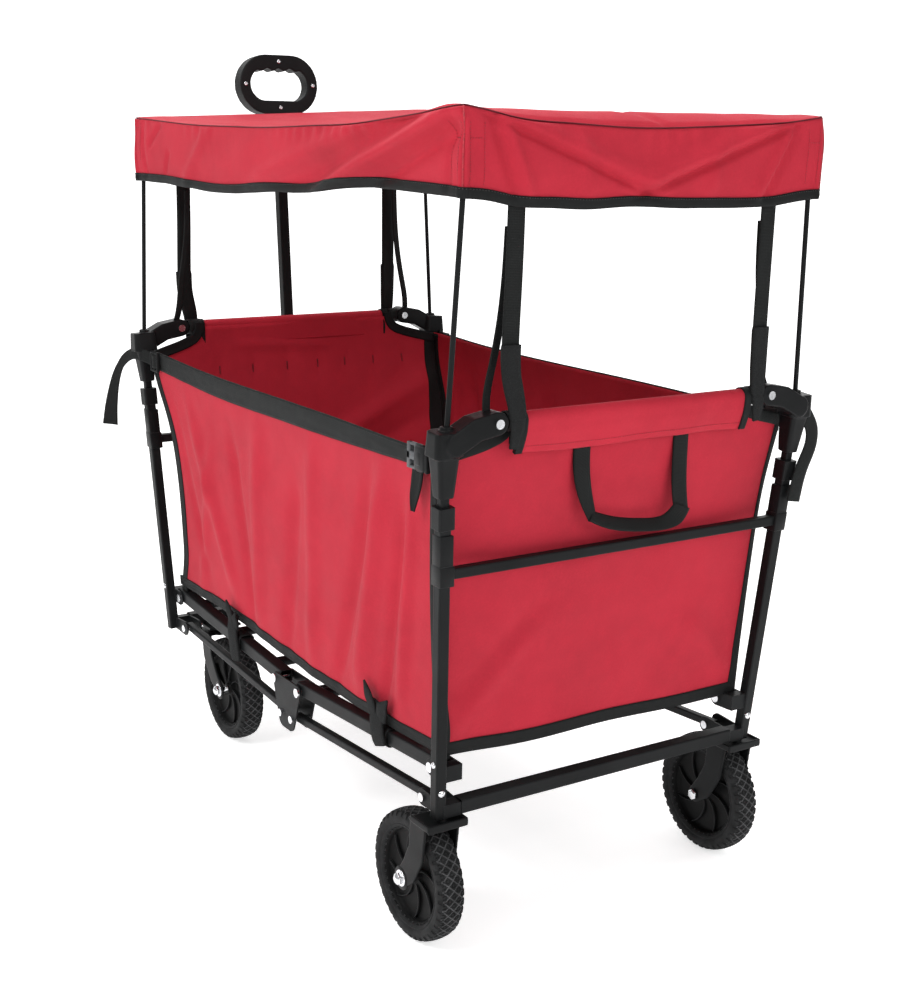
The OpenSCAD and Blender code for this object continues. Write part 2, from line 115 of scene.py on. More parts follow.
def mirror(sx, sy, *points):
    """Points given for the front left corner, carried over to the sx, sy one."""
    return [(sx * x, sy * y, z) for x, y, z in points]


def line(points, n):
    """n points spaced evenly along a smooth curve through the given points."""
    p = np.array(points, float)
    s = lengths(p)
    fine = np.linspace(0, s[-1], 600)
    q = np.stack([table(list(zip(s, p[:, k])))(fine) for k in range(p.shape[1])], 1)
    t = lengths(q)
    at = np.linspace(0, t[-1], n)
    return np.stack([np.interp(at, t, q[:, k]) for k in range(p.shape[1])], 1)


def bell(d, width):
    return np.exp(-((d / width) ** 2))


def crease(x, z, a, b, width, depth):
    """Height of a soft fold along the stretch from a to b, which fades at its ends."""
    ax, az = a
    dx, dz = b[0] - ax, b[1] - az
    size = math.hypot(dx, dz)
    t = ((x - ax) * dx + (z - az) * dz) / size**2
    d = ((x - ax) * dz - (z - az) * dx) / size
    ends = 1 / (1 + np.exp(-(t - 0.02) * 22)) / (1 + np.exp((t - 0.98) * 22))
    return depth * ends * bell(d, width)


def folds(x, z, table_of_folds, total=0.0):
    """Adds up creases given as (start, end, width, depth)."""
    for a, b, width, depth in table_of_folds:
        total = total + crease(x, z, a, b, width, depth)
    return total


def waves(x, y, scale, seed):
    """Smooth noise from -1 to 1, the same on each run."""
    x, y = np.broadcast_arrays(x, y)
    flat = [noise.noise(Vector((u * scale, v * scale, seed))) for u, v in zip(x.ravel(), y.ravel())]
    return np.array(flat).reshape(x.shape)


# ---- mesh helpers --------------------------------------------------------------------------


def add(name, mesh, material=None):
    obj = bpy.data.objects.new(name, mesh)
    scene.collection.objects.link(obj)
    if material:
        mesh.materials.clear()
        mesh.materials.append(material)
    return obj


def build(name, verts, faces, material, uv=None, smooth=True):
    mesh = bpy.data.meshes.new(name)
    mesh.from_pydata([tuple(map(float, v)) for v in verts], [], faces)
    if uv is not None:
        layer = mesh.uv_layers.new(name="UVMap")
        layer.data.foreach_set("uv", np.asarray(uv, np.float32).ravel())
    mesh.polygons.foreach_set("use_smooth", [smooth] * len(faces))
    mesh.update()
    return add(name, mesh, material)


def grid(name, points, material, closed=False, thick=0.0):
    """A sheet through rows of points, with its UVs in metres along and across."""
    p = np.asarray(points, float)
    rows, cols = p.shape[:2]
    ring = np.concatenate([p, p[:, :1]], 1) if closed else p
    u, v = lengths(ring[rows // 2]), lengths(p[:, cols // 2])
    faces, uv = [], []
    for i in range(rows - 1):
        for j in range(cols if closed else cols - 1):
            k = (j + 1) % cols
            faces.append((i * cols + j, i * cols + k, (i + 1) * cols + k, (i + 1) * cols + j))
            uv += [(u[j], v[i]), (u[j + 1], v[i]), (u[j + 1], v[i + 1]), (u[j], v[i + 1])]
    obj = build(name, p.reshape(-1, 3), faces, material, uv)
    if thick:
        thicken(obj, thick)
    return obj


def thicken(obj, thick, offset=0.0):
    """Gives a sheet its thickness, about its middle when offset is 0."""
    m = obj.modifiers.new("thickness", "SOLIDIFY")
    m.thickness, m.offset, m.use_even_offset = thick, offset, False


def normals(path, side):
    """Directions at right angles to both the path and its side directions."""
    return unit(np.cross(np.gradient(path, axis=0), side))


def strap(name, path, side, width, material, thick=0.0016, crown=0.0, cols=5):
    """A flat woven strap along path. side is its width direction, and width may vary along it."""
    path = np.asarray(path, float)
    side = np.broadcast_to(np.asarray(side, float), path.shape)
    t = unit(np.gradient(path, axis=0))
    side = unit(side - t * (side * t).sum(1)[:, None])
    n = normals(path, side)
    width = np.broadcast_to(np.asarray(width, float), (len(path),))
    a = np.linspace(-0.5, 0.5, cols)
    rows = path[:, None] + side[:, None] * (width[:, None] * a)[:, :, None]
    rows = rows + n[:, None] * (crown * (1 - (2 * a) ** 2))[None, :, None]
    return grid(name, rows, material, thick=thick)


def rod(name, path, radius, material, sides=10, closed=False):
    """A round bar along path, or a ring when closed."""
    path = np.asarray(path, float)
    t = unit(np.roll(path, -1, 0) - np.roll(path, 1, 0) if closed else np.gradient(path, axis=0))
    up = np.where(np.abs(t[:, 2:3]) > 0.9, [[1.0, 0, 0]], [[0, 0, 1.0]])
    a = unit(np.cross(t, up))
    b = np.cross(t, a)
    ang = np.linspace(0, TAU, sides, endpoint=False)
    r = np.broadcast_to(np.asarray(radius, float), (len(path),))[:, None, None]
    rings = path[:, None] + r * (np.cos(ang)[None, :, None] * a[:, None] + np.sin(ang)[None, :, None] * b[:, None])
    if closed:
        rows = np.transpose(rings, (1, 0, 2))
        return grid(name, np.concatenate([rows, rows[:1]], 0), material, closed=True)
    obj = grid(name, rings, material, closed=True)
    bm = bmesh.new()
    bm.from_mesh(obj.data)
    bmesh.ops.holes_fill(bm, edges=[e for e in bm.edges if e.is_boundary])
    bm.to_mesh(obj.data)
    bm.free()
    return obj


def lathe(name, profile, centre, axis, material, n=48, hexagon=0):
    """A turned piece: profile is (radius, height along axis) from centre.

    Where its radius is more than hexagon, and that is not 0, the section is six-sided.
    """
    z = Vector(axis).normalized()
    x = z.orthogonal().normalized()
    y = z.cross(x)
    rows = []
    for r, h in profile:
        ring = []
        for i in range(n):
            a = TAU * i / n
            k = 1.0
            if hexagon and r > hexagon:
                k = math.cos(math.pi / 6) / math.cos((a % (math.pi / 3)) - math.pi / 6)
            ring.append(np.array(Vector(centre) + (x * math.cos(a) + y * math.sin(a)) * r * k + z * h))
        rows.append(ring)
    return grid(name, rows, material, closed=True)


def join(name, parts, material=None):
    """Joins objects, with their modifiers applied, into one."""
    dg = bpy.context.evaluated_depsgraph_get()
    bm = bmesh.new()
    mats = []
    for o in parts:
        dg.update()
        m = bpy.data.meshes.new_from_object(o.evaluated_get(dg))
        m.transform(o.matrix_world)
        index = []
        for mat in o.data.materials:
            if mat not in mats:
                mats.append(mat)
            index.append(mats.index(mat))
        for p in m.polygons:
            p.material_index = index[p.material_index] if index else 0
        bm.from_mesh(m)
        bpy.data.meshes.remove(m)
        bpy.data.objects.remove(o)
    mesh = bpy.data.meshes.new(name)
    bm.to_mesh(mesh)
    bm.free()
    for mat in [material] if material else mats:
        mesh.materials.append(mat)
    if material:
        mesh.polygons.foreach_set("material_index", [0] * len(mesh.polygons))
    mesh.polygons.foreach_set("use_smooth", [True] * len(mesh.polygons))
    return add(name, mesh)


def lump(name, low, high, bevel):
    """A block with rounded edges."""
    bm = bmesh.new()
    bmesh.ops.create_cube(bm, size=1)
    low, high = Vector(low), Vector(high)
    bm.transform(Matrix.Translation((low + high) / 2) @ Matrix.Diagonal((*(high - low), 1)))
    bmesh.ops.bevel(bm, geom=bm.edges[:], offset=bevel, segments=2, profile=0.5, affect="EDGES")
    mesh = bpy.data.meshes.new(name)
    bm.to_mesh(mesh)
    bm.free()
    return add(name, mesh)


def from_node(node):
    """A copy of a CAD node's mesh, as raw material for moulded()."""
    return add("raw", nodes[node].data.copy())


def moulded(name, parts, voxel, rounds, material):
    """One rounded body from overlapping closed pieces, as a moulding or a stamping has."""
    obj = join(name, parts, material)
    m = obj.modifiers.new("remesh", "REMESH")
    m.mode, m.voxel_size, m.use_smooth_shade = "VOXEL", voxel, True
    s = obj.modifiers.new("smooth", "SMOOTH")
    s.factor, s.iterations = 0.5, rounds
    out = join(name + "_done", [obj], material)
    out.name = name
    return out


def flipped(obj, sy):
    """Mirrors a piece made for the left side when sy is -1."""
    if sy < 0:
        obj.data.transform(Matrix.Diagonal((1, -1, 1, 1)))
        obj.data.flip_normals()
    return obj


def coat(material, *names):
    """Gives shown CAD nodes their material."""
    for name in names:
        mesh = nodes[name].data
        mesh.materials.clear()
        mesh.materials.append(material)


def place(obj, body, slot, *replaced):
    """Rides the piece on its body and hides the CAD nodes it stands for. slot is not used."""
    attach(obj, body)
    if replaced:
        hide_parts(*replaced)
    return obj


def crumple(obj):
    """Gives a fabric piece its own copy of its mesh."""
    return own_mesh(obj)


# ---- materials -----------------------------------------------------------------------------


class Paint:
    """Builds a node material; its calls return output sockets."""

    def __init__(self, name, base, rough, metal=0.0, **sockets):
        self.mat = bpy.data.materials.new(name)
        self.mat.use_nodes = True
        self.nt = self.mat.node_tree
        self.bsdf = self.nt.nodes["Principled BSDF"]
        self.bsdf.inputs["Base Color"].default_value = (*base, 1)
        self.bsdf.inputs["Roughness"].default_value = rough
        self.bsdf.inputs["Metallic"].default_value = metal
        for k, v in sockets.items():
            self.bsdf.inputs[k.replace("_", " ")].default_value = v
        self.coord = self.node("TexCoord")

    def node(self, kind, **values):
        """Adds a node and feeds its inputs, whose names are written with _ for spaces."""
        n = self.nt.nodes.new("ShaderNode" + kind)
        for k, v in values.items():
            self.feed(n.inputs[k.replace("_", " ")], v)
        return n

    def feed(self, socket, value):
        """Sets an input to a number or a colour, or links a socket to it."""
        if isinstance(value, (int, float)):
            socket.default_value = value
        elif isinstance(value, tuple):
            socket.default_value = (*value, 1)
        else:
            self.nt.links.new(value, socket)

    def noise(self, scale, detail=3, rough=0.5, distort=0.0):
        return self.node("TexNoise", Scale=scale, Detail=detail, Roughness=rough, Distortion=distort,
                         Vector=self.coord.outputs["Object"]).outputs["Fac"]

    def cells(self, scale):
        return self.node("TexVoronoi", Scale=scale, Vector=self.coord.outputs["Object"]).outputs["Distance"]

    def bands(self, pitch, direction, distort):
        n = self.node("TexWave", Scale=TAU / (20 * pitch), Distortion=distort, Vector=self.coord.outputs["UV"])
        n.bands_direction = direction
        return n.outputs["Fac"]

    def math(self, kind, a, b):
        n = self.node("Math")
        n.operation = kind
        self.feed(n.inputs[0], a)
        self.feed(n.inputs[1], b)
        return n.outputs[0]

    def ramp(self, fac, stops):
        n = self.node("ValToRGB", Fac=fac)
        r = n.color_ramp
        while len(r.elements) < len(stops):
            r.elements.new(0.5)
        for e, (at, c) in zip(r.elements, stops):
            e.position = at
            e.color = (*c, 1) if isinstance(c, tuple) else (c, c, c, 1)
        return n.outputs["Color"]

    def mix(self, fac, a, b):
        n = self.node("Mix")
        n.data_type = "RGBA"
        for i, v in ((0, fac), (6, a), (7, b)):  # a colour mix takes inputs 6 and 7
            self.feed(n.inputs[i], v)
        return n.outputs[2]

    def colour(self, socket):
        self.feed(self.bsdf.inputs["Base Color"], socket)

    def rough(self, fac, low, high):
        n = self.node("MapRange", To_Min=low, To_Max=high, Value=fac)
        self.feed(self.bsdf.inputs["Roughness"], n.outputs[0])

    def bump(self, height, strength, distance, after=None):
        n = self.node("Bump", Strength=strength, Distance=distance, Height=height)
        if after is not None:
            self.feed(n.inputs["Normal"], after)
        self.feed(self.bsdf.inputs["Normal"], n.outputs["Normal"])
        return n.outputs["Normal"]

    def edges(self, radius):
        """From 0 on flat stretches to 1 at sharp edges, and the rounded normal."""
        b = self.node("Bevel", Radius=radius)
        b.samples = 4
        d = self.node("VectorMath")
        d.operation = "DOT_PRODUCT"
        self.feed(d.inputs[0], b.outputs["Normal"])
        self.feed(d.inputs[1], self.node("NewGeometry").outputs["Normal"])
        return self.math("SUBTRACT", 1.0, d.outputs["Value"]), b.outputs["Normal"]


def shade(c, k):
    return tuple(min(1.0, v * k) for v in c)


def make_steel():
    p = Paint("powder_coat", (0.008, 0.0088, 0.0092), 0.3, Specular_IOR_Level=0.1)
    edge, normal = p.edges(0.0012)
    wear = p.math("MULTIPLY", p.ramp(edge, [(0.02, 0.0), (0.3, 1.0)]), p.noise(60, 4))
    tone = p.ramp(p.noise(9, 4), [(0.3, (0.0058, 0.0063, 0.0066)), (0.7, (0.011, 0.012, 0.0126))])
    p.colour(p.mix(wear, tone, (0.07, 0.073, 0.075)))
    p.rough(p.noise(25, 5), 0.34, 0.52)
    p.bump(p.noise(1400, 2), 0.16, 0.0004, normal)
    return p.mat


def make_plastic(name, base, low, high, grain=0.22):
    p = Paint(name, base, 0.34, Specular_IOR_Level=0.1)
    edge, normal = p.edges(0.0014)
    wear = p.math("MULTIPLY", p.ramp(edge, [(0.02, 0.0), (0.35, 1.0)]), p.noise(90, 4))
    tone = p.ramp(p.noise(14, 4), [(0.3, shade(base, 0.75)), (0.7, shade(base, 1.35))])
    p.colour(p.mix(wear, tone, (0.1, 0.102, 0.104)))
    p.rough(p.noise(40, 4), low, high)
    p.bump(p.cells(1500), grain, 0.0003, normal)
    return p.mat


def make_rubber(name, base):
    p = Paint(name, base, 0.75, Specular_IOR_Level=0.18)
    dust = p.ramp(p.noise(70, 6, 0.65), [(0.42, 0.0), (0.75, 1.0)])
    p.colour(p.mix(dust, base, shade(base, 2.3)))
    p.rough(p.noise(30, 5), 0.62, 0.86)
    p.bump(p.noise(900, 4), 0.3, 0.0006)
    return p.mat


def make_chrome():
    p = Paint("plated_steel", (0.72, 0.73, 0.75), 0.16, 1.0)
    p.colour(p.ramp(p.noise(120, 4), [(0.35, (0.6, 0.61, 0.63)), (0.65, (0.8, 0.81, 0.83))]))
    p.rough(p.noise(200, 5), 0.1, 0.3)
    p.bump(p.noise(600, 3), 0.05, 0.0003)
    return p.mat


def make_canvas(name, base, pitch=0.0011):
    """Plain-woven polyester with a soft sheen."""
    p = Paint(name, base, 0.62, Specular_IOR_Level=0.14, Sheen_Weight=0.04, Sheen_Roughness=0.4)
    p.bsdf.inputs["Sheen Tint"].default_value = (1.0, 0.75, 0.78, 1)
    warp, weft = p.bands(pitch, "X", 0.25), p.bands(pitch, "Y", 0.25)
    weave = p.math("MULTIPLY", warp, weft)
    soft = p.ramp(p.noise(5.5, 5, 0.55, distort=0.6), [(0.3, shade(base, 0.88)), (0.7, shade(base, 1.09))])
    slub = p.math("MULTIPLY", p.noise(330, 2), p.noise(45, 3))
    mottled = p.mix(p.ramp(slub, [(0.12, 0.0), (0.5, 0.45)]), soft, shade(base, 1.32))
    p.colour(p.mix(p.ramp(weave, [(0.1, 0.0), (0.8, 0.5)]), mottled, shade(base, 0.84)))
    p.rough(p.noise(20, 4), 0.6, 0.82)
    first = p.bump(weave, 0.3, 0.0005)
    p.bump(p.noise(55, 5, 0.6), 0.1, 0.004, first)
    return p.mat


def make_webbing(name, base, pitch=0.0019, rib_sheen=1.9, ribs=0.5):
    """Ribbed webbing: ribs across its length and fine rows along it; the raised ribs are painted lighter, a painted
    sheen.
    """
    p = Paint(name, base, 0.6, Specular_IOR_Level=0.1, Sheen_Weight=0.015, Sheen_Roughness=0.4)
    across, along = p.bands(pitch, "Y", 0.1), p.bands(pitch * 1.3, "X", 0.1)
    weave = p.math("ADD", p.math("MULTIPLY", across, 0.75), p.math("MULTIPLY", along, 0.25))
    tone = p.ramp(p.noise(30, 4), [(0.3, shade(base, 0.8)), (0.7, shade(base, 1.25))])
    # painted sheen: the colour is lighter where the ribs stand high
    p.colour(p.mix(p.math("MULTIPLY", weave, 0.55), tone, shade(base, rib_sheen)))
    p.rough(p.noise(60, 3), 0.48, 0.7)
    p.bump(weave, ribs, 0.0007)
    return p.mat


def make_fuzz(name, base):
    """The pile side of hook-and-loop tape, painted darker in its pits and lighter on its raised loops as painted
    shade and painted highlight.
    """
    p = Paint(name, base, 0.95, Specular_IOR_Level=0.06, Sheen_Weight=0.02, Sheen_Roughness=0.6)
    pile = p.cells(1100)
    # painted shade and highlight: darker where the pile is low, lighter where it stands high
    p.colour(p.mix(p.ramp(pile, [(0.1, 0.0), (0.7, 1.0)]), shade(base, 0.6), shade(base, 2.2)))
    p.rough(p.noise(200, 3), 0.85, 1.0)
    p.bump(p.math("ADD", pile, p.noise(500, 4)), 0.55, 0.0012)
    return p.mat


def make_thread(name, base):
    p = Paint(name, base, 0.6)
    p.colour(p.ramp(p.noise(400, 3), [(0.3, shade(base, 0.7)), (0.7, shade(base, 1.4))]))
    p.rough(p.noise(300, 2), 0.45, 0.75)
    p.bump(p.noise(2500, 2), 0.3, 0.0002)
    return p.mat


STEEL = make_steel()
PLASTIC = make_plastic("moulded_black", (0.0072, 0.0076, 0.008), 0.26, 0.44)
GRIP_PLASTIC = make_plastic("grip_black", (0.0085, 0.009, 0.0094), 0.36, 0.56, 0.5)
HUB_PLASTIC = make_plastic("hub_black", (0.0026, 0.0027, 0.0028), 0.4, 0.6, 0.12)
RIB_PLASTIC = make_plastic("hub_rib", (0.013, 0.0135, 0.014), 0.35, 0.5, 0.15)
CLIP_PLASTIC = make_plastic("clip_black", (0.013, 0.0134, 0.0138), 0.3, 0.45, 0.15)
TYRE = make_rubber("tyre_black", (0.0105, 0.0108, 0.0112))
# lighter rubber for the raised tread ridges, a painted highlight
TYRE_RIDGE_HIGHLIGHT = make_rubber("tyre_ridge_highlight", (0.04, 0.0405, 0.042))
CHROME = make_chrome()
RED = (0.435, 0.02, 0.0375)
CANVAS = make_canvas("red_canvas", RED)
WEBBING = make_webbing("black_webbing", (0.0088, 0.0095, 0.0094))
TAPE = make_webbing("binding_tape", (0.0082, 0.0088, 0.0088), 0.0012, 1.9, 0.35)
LOOP_TAPE = make_fuzz("loop_tape", (0.01, 0.0104, 0.0106))
THREAD_RED = make_thread("thread_red", (0.26, 0.016, 0.028))
THREAD_BLACK = make_thread("thread_black", (0.03, 0.03, 0.03))
SEAM = make_webbing("seam_tape", (0.085, 0.008, 0.013), 0.0012, 1.6, 0.3)
FOLD_RED = make_thread("corner_fold", (0.36, 0.015, 0.028))
TACK = make_thread("bar_tack", (0.016, 0.004, 0.006))
CLIP_GREY = make_plastic("clip_grey", (0.085, 0.088, 0.092), 0.3, 0.45, 0.15)


def stitches(name, path, out, material, pitch=0.0036, share=0.68, width=0.0011, rise=0.0005):
    """A row of sewn thread on a surface. out is the surface's outward direction at each point."""
    path = np.asarray(path, float)
    out = np.broadcast_to(np.asarray(out, float), path.shape)
    s = lengths(path)
    verts, faces = [], []
    for k in range(max(1, int(s[-1] / pitch))):
        a, b = k * pitch, k * pitch + pitch * share
        ends = [np.array([np.interp(v, s, path[:, i]) for i in range(3)]) for v in (a, (a + b) / 2, b)]
        n = np.array([np.interp(a, s, out[:, i]) for i in range(3)])
        n /= np.linalg.norm(n)
        t = ends[2] - ends[0]
        if np.linalg.norm(t) < 1e-6:
            continue
        w = np.cross(t, n)
        w *= width / 2 / np.linalg.norm(w)
        base = len(verts)
        verts += [ends[0], ends[1] + w, ends[2], ends[1] - w, ends[1] + n * rise, ends[1] - n * rise]
        for i, j in ((0, 1), (1, 2), (2, 3), (3, 0)):
            faces += [(base + i, base + j, base + 4), (base + j, base + i, base + 5)]
    return build(name, verts, faces, material, smooth=True)


# ---- CAD nodes that stay as they are -------------------------------------------------------

for end in ("rear", "front"):
    for part in ("posts", "lower_bar", "mid_bar", "top_rail", "canopy_poles", "rails", "rods", "floor_tubes"):
        coat(STEEL, f"{end}_{part}")
coat(STEEL, "center_frame", "caster_mounts", "handle_bracket", "handle_lower_tube", "handle_upper_tube")
coat(PLASTIC, "rear_post_collars", "front_post_collars", "handle_lock_button")
coat(CHROME, "rear_rivets", "front_rivets", "center_rivets")

# ---- canopy cover --------------------------------------------------------------------------

seam_left = table([(-0.505, 1.094), (-0.468, 1.091), (-0.426, 1.086), (-0.331, 1.077), (-0.239, 1.07),
                   (-0.14, 1.067), (0.006, 1.063), (0.127, 1.063), (0.26, 1.064), (0.376, 1.068), (0.505, 1.073)])
seam_right = table([(-0.505, 1.091), (-0.25, 1.087), (0, 1.086), (0.25, 1.089), (0.505, 1.098)])
seam_rear = table([(-0.285, 1.091), (-0.233, 1.084), (-0.144, 1.078), (-0.059, 1.074), (0.04, 1.072),
                   (0.139, 1.076), (0.212, 1.081), (0.254, 1.089), (0.285, 1.094)])
seam_front = table([(-0.285, 1.098), (-0.1, 1.09), (0.1, 1.081), (0.285, 1.073)])
hem_left = table([(-0.505, 0.99), (-0.444, 0.992), (-0.361, 0.993), (-0.28, 0.993), (-0.207, 0.988),
                  (-0.104, 0.978), (0.008, 0.975), (0.114, 0.968), (0.266, 0.968), (0.363, 0.971), (0.505, 0.971)])
hem_right = table([(-0.505, 0.985), (-0.2, 0.978), (0.1, 0.974), (0.505, 0.98)])
hem_rear = table([(-0.285, 0.985), (-0.243, 0.982), (-0.207, 0.977), (-0.175, 0.975), (-0.109, 0.975),
                  (-0.024, 0.976), (0.045, 0.978), (0.096, 0.976), (0.153, 0.978), (0.212, 0.981),
                  (0.245, 0.987), (0.285, 0.99)])
hem_front = table([(-0.285, 0.98), (0, 0.973), (0.285, 0.971)])


def canopy_ring():
    """Points round the cover in plan, with their outward directions and distance along it."""
    r, pts = 0.009, []
    lx, ly = CX - r, CY - r
    for a0, cx, cy, nxt in ((0, lx, ly, (-lx, ly)), (90, -lx, ly, (-lx, -ly)),
                            (180, -lx, -ly, (lx, -ly)), (270, lx, -ly, (lx, ly))):
        for k in range(7):
            a = math.radians(a0 + 15 * k)
            pts.append((cx + r * math.cos(a), cy + r * math.sin(a), math.cos(a), math.sin(a)))
        a = math.radians(a0 + 90)
        n = 150 if abs(nxt[0] - cx) > 0.7 else 86
        for k in range(1, n):
            t = k / n
            pts.append((cx + (nxt[0] - cx) * t + r * math.cos(a), cy + (nxt[1] - cy) * t + r * math.sin(a),
                        math.cos(a), math.sin(a)))
    p = np.array(pts)
    return p, lengths(p[:, :2])


RING, RING_S = canopy_ring()
RING_OUT = np.stack([RING[:, 2], RING[:, 3], np.zeros(len(RING))], 1)


def ring_index(start, along):
    """The ring's point that lies the given distance along it from the start point."""
    return int(np.argmin(np.abs(RING_S - (RING_S[start] + along) % (RING_S[-1] + 0.005))))


def blend_faces(left, right, rear, front):
    """A value round the cover that takes each face's own table, blended at the corners."""
    x, y = RING[:, 0], RING[:, 1]
    n = RING[:, 2:4]
    wx, wy = n[:, 0] ** 2, n[:, 1] ** 2
    on_x = np.where(n[:, 0] > 0, front(y), rear(y))
    on_y = np.where(n[:, 1] > 0, left(x), right(x))
    return wx * on_x + wy * on_y


TOP_Z = blend_faces(seam_left, seam_right, seam_rear, seam_front)
HEM_Z = blend_faces(hem_left, hem_right, hem_rear, hem_front)


REAR_FOLDS = (
    ((0.25, 1.082), (0.0, 0.99), 0.0047, -0.0075), ((0.24, 1.088), (-0.02, 1.0), 0.0119, 0.0067),
    ((-0.235, 1.079), (0.02, 0.99), 0.0047, -0.0075), ((-0.22, 1.086), (0.04, 1.002), 0.0119, 0.0067),
    ((0.245, 1.085), (0.208, 0.985), 0.006, -0.0055), ((0.232, 1.088), (0.19, 0.99), 0.0076, 0.0075),
    ((-0.238, 1.082), (-0.185, 0.982), 0.0051, -0.005), ((-0.228, 1.08), (-0.168, 0.985), 0.0076, 0.006),
    ((0.12, 1.07), (0.1, 0.985), 0.0102, 0.0033), ((-0.11, 1.07), (-0.085, 0.985), 0.0102, 0.0033),
)
LEFT_FOLDS = (
    ((-0.5, 1.092), (-0.13, 0.975), 0.0119, 0.015), ((-0.5, 1.07), (-0.23, 0.978), 0.0136, -0.0112),
    ((-0.42, 1.088), (-0.01, 0.975), 0.017, -0.0075), ((-0.3, 1.076), (0.06, 0.985), 0.0119, 0.0053),
    ((0.39, 1.064), (0.44, 1.028), 0.0051, -0.0042), ((0.355, 1.022), (0.382, 0.985), 0.0051, -0.0042),
    ((0.47, 1.06), (0.455, 0.98), 0.0051, -0.0036), ((0.2, 1.06), (0.3, 0.975), 0.0119, 0.0039),
    ((-0.48, 1.08), (-0.47, 0.995), 0.0051, -0.0036),
)
RIGHT_FOLDS = (
    ((-0.48, 1.085), (-0.12, 0.985), 0.0153, -0.006), ((0.47, 1.09), (0.15, 0.982), 0.0153, -0.006),
    ((0.42, 1.085), (0.08, 0.982), 0.017, 0.0051),
)
FRONT_FOLDS = (
    ((0.24, 1.072), (0.02, 0.978), 0.0085, -0.006), ((-0.24, 1.09), (-0.01, 0.98), 0.0085, -0.006),
)


def valance_push(z):
    """How far the valance stands out from flat at height z, along the ring."""
    x, y, nx, ny = RING.T
    t = np.clip((TOP_Z - z) / (TOP_Z - HEM_Z), 0, 1)
    z = np.broadcast_to(z, x.shape)
    rear = (nx < -0.7) * folds(y, z, REAR_FOLDS)
    left = (ny > 0.7) * folds(x, z, LEFT_FOLDS)
    right = (ny < -0.7) * folds(x, z, RIGHT_FOLDS)
    front = (nx > 0.7) * folds(y, z, FRONT_FOLDS)
    gathers = 0.0016 * np.sin(RING_S * TAU / 0.027 + 4 * waves(x, y, 7, 3.0)) * bell(t - 0.05, 0.16)
    gathers = gathers * np.clip(waves(x, y, 5, 8.0) * 2.5, 0, 1)
    soft = 0.0045 * waves(x + y * 0.7, z * 1.6, 9, 5.0) * np.sin(np.clip(t, 0, 1) * math.pi * 0.75)
    billow = 0.0035 * np.sin(np.clip(t * 0.9, 0, 1) * math.pi)
    return rear + left + right + front + gathers + soft + billow - 0.004 * t * (np.abs(nx * ny) < 0.1)


def valance_point(z, out=0.0):
    """The valance's points round the ring at height z."""
    d = valance_push(z) + out
    z = np.broadcast_to(z, RING.shape[:1])
    return np.stack([RING[:, 0] + RING[:, 2] * d, RING[:, 1] + RING[:, 3] * d, z], 1)


def top_height(x, y):
    """The top sheet between its four seams, sagging a little towards the middle."""
    u, v = np.clip((x + CX) / (2 * CX), 0, 1), np.clip((y + CY) / (2 * CY), 0, 1)
    lo, hi = seam_rear(y), seam_front(y)
    edges_y = (1 - v) * seam_right(x) + v * seam_left(x)
    edges_x = (1 - u) * lo + u * hi
    corners = ((1 - u) * (1 - v) * 1.091 + (1 - u) * v * 1.094 + u * (1 - v) * 1.098 + u * v * 1.073)
    sag = -0.01 * (1 - (2 * u - 1) ** 2) * (1 - (2 * v - 1) ** 2)
    d = x + CX
    rise = np.clip(d / 0.042, 0, 1) ** 0.7
    crest = (1.0945 + 0.0012 * (2 * v - 1) - lo) * rise * np.exp(-np.clip(d - 0.042, 0, 9) / 0.22)
    tuck = crease(x, y, (-0.503, -0.015), (-0.44, 0.03), 0.006, -0.003)
    return edges_x + edges_y - corners + sag + crest + tuck


def make_canopy():
    """The top sheet and the valance, as rings of points from the middle outwards."""
    n = len(RING)
    rings, uvs = [], []
    for s in np.concatenate([np.linspace(0.02, 0.9, 30), [0.94, 0.965, 0.98, 0.989]]):
        x, y = RING[:, 0] * s, RING[:, 1] * s
        z = top_height(x, y) + 0.0016 * waves(x, y, 14, 1.0)
        rings.append(np.stack([x, y, z], 1))
        uvs.append(np.stack([x, y], 1))
    inset = rings[-1]
    for k, drop in ((0.5, 0.0006), (0.85, 0.0022)):
        x, y = inset[:, 0] * (1 - k) + RING[:, 0] * k, inset[:, 1] * (1 - k) + RING[:, 1] * k
        rings.append(np.stack([x, y, TOP_Z - drop], 1))
        uvs.append(np.stack([x, y], 1))
    for t in np.concatenate([[0.045], np.linspace(0.07, 1, 34)]):
        rings.append(valance_point(TOP_Z + (HEM_Z - TOP_Z) * t))
        uvs.append(np.stack([RING_S, TOP_Z + (HEM_Z - TOP_Z) * t], 1))
    verts = [np.array([0, 0, float(top_height(np.array(0.0), np.array(0.0)))])]
    for r in rings:
        verts += list(r)
    faces, uv = [], []
    for j in range(n):
        k = (j + 1) % n
        faces.append((0, 1 + j, 1 + k))
        uv += [(0, 0), uvs[0][j], uvs[0][k]]
    last = RING_S[-1] + float(np.linalg.norm(RING[0, :2] - RING[-1, :2]))
    for i in range(len(rings) - 1):
        for j in range(n):
            k = (j + 1) % n
            a, b = 1 + i * n, 1 + (i + 1) * n
            faces.append((a + j, b + j, b + k, a + k))
            quad = [uvs[i][j], uvs[i + 1][j], uvs[i + 1][k], uvs[i][k]]
            if k == 0 and i > 35:
                quad = [quad[0], quad[1], (last, quad[2][1]), (last, quad[3][1])]
            uv += quad
    top = build("canopy_fabric", verts, faces, CANVAS, uv)
    thicken(top, 0.0012, -1)
    return top


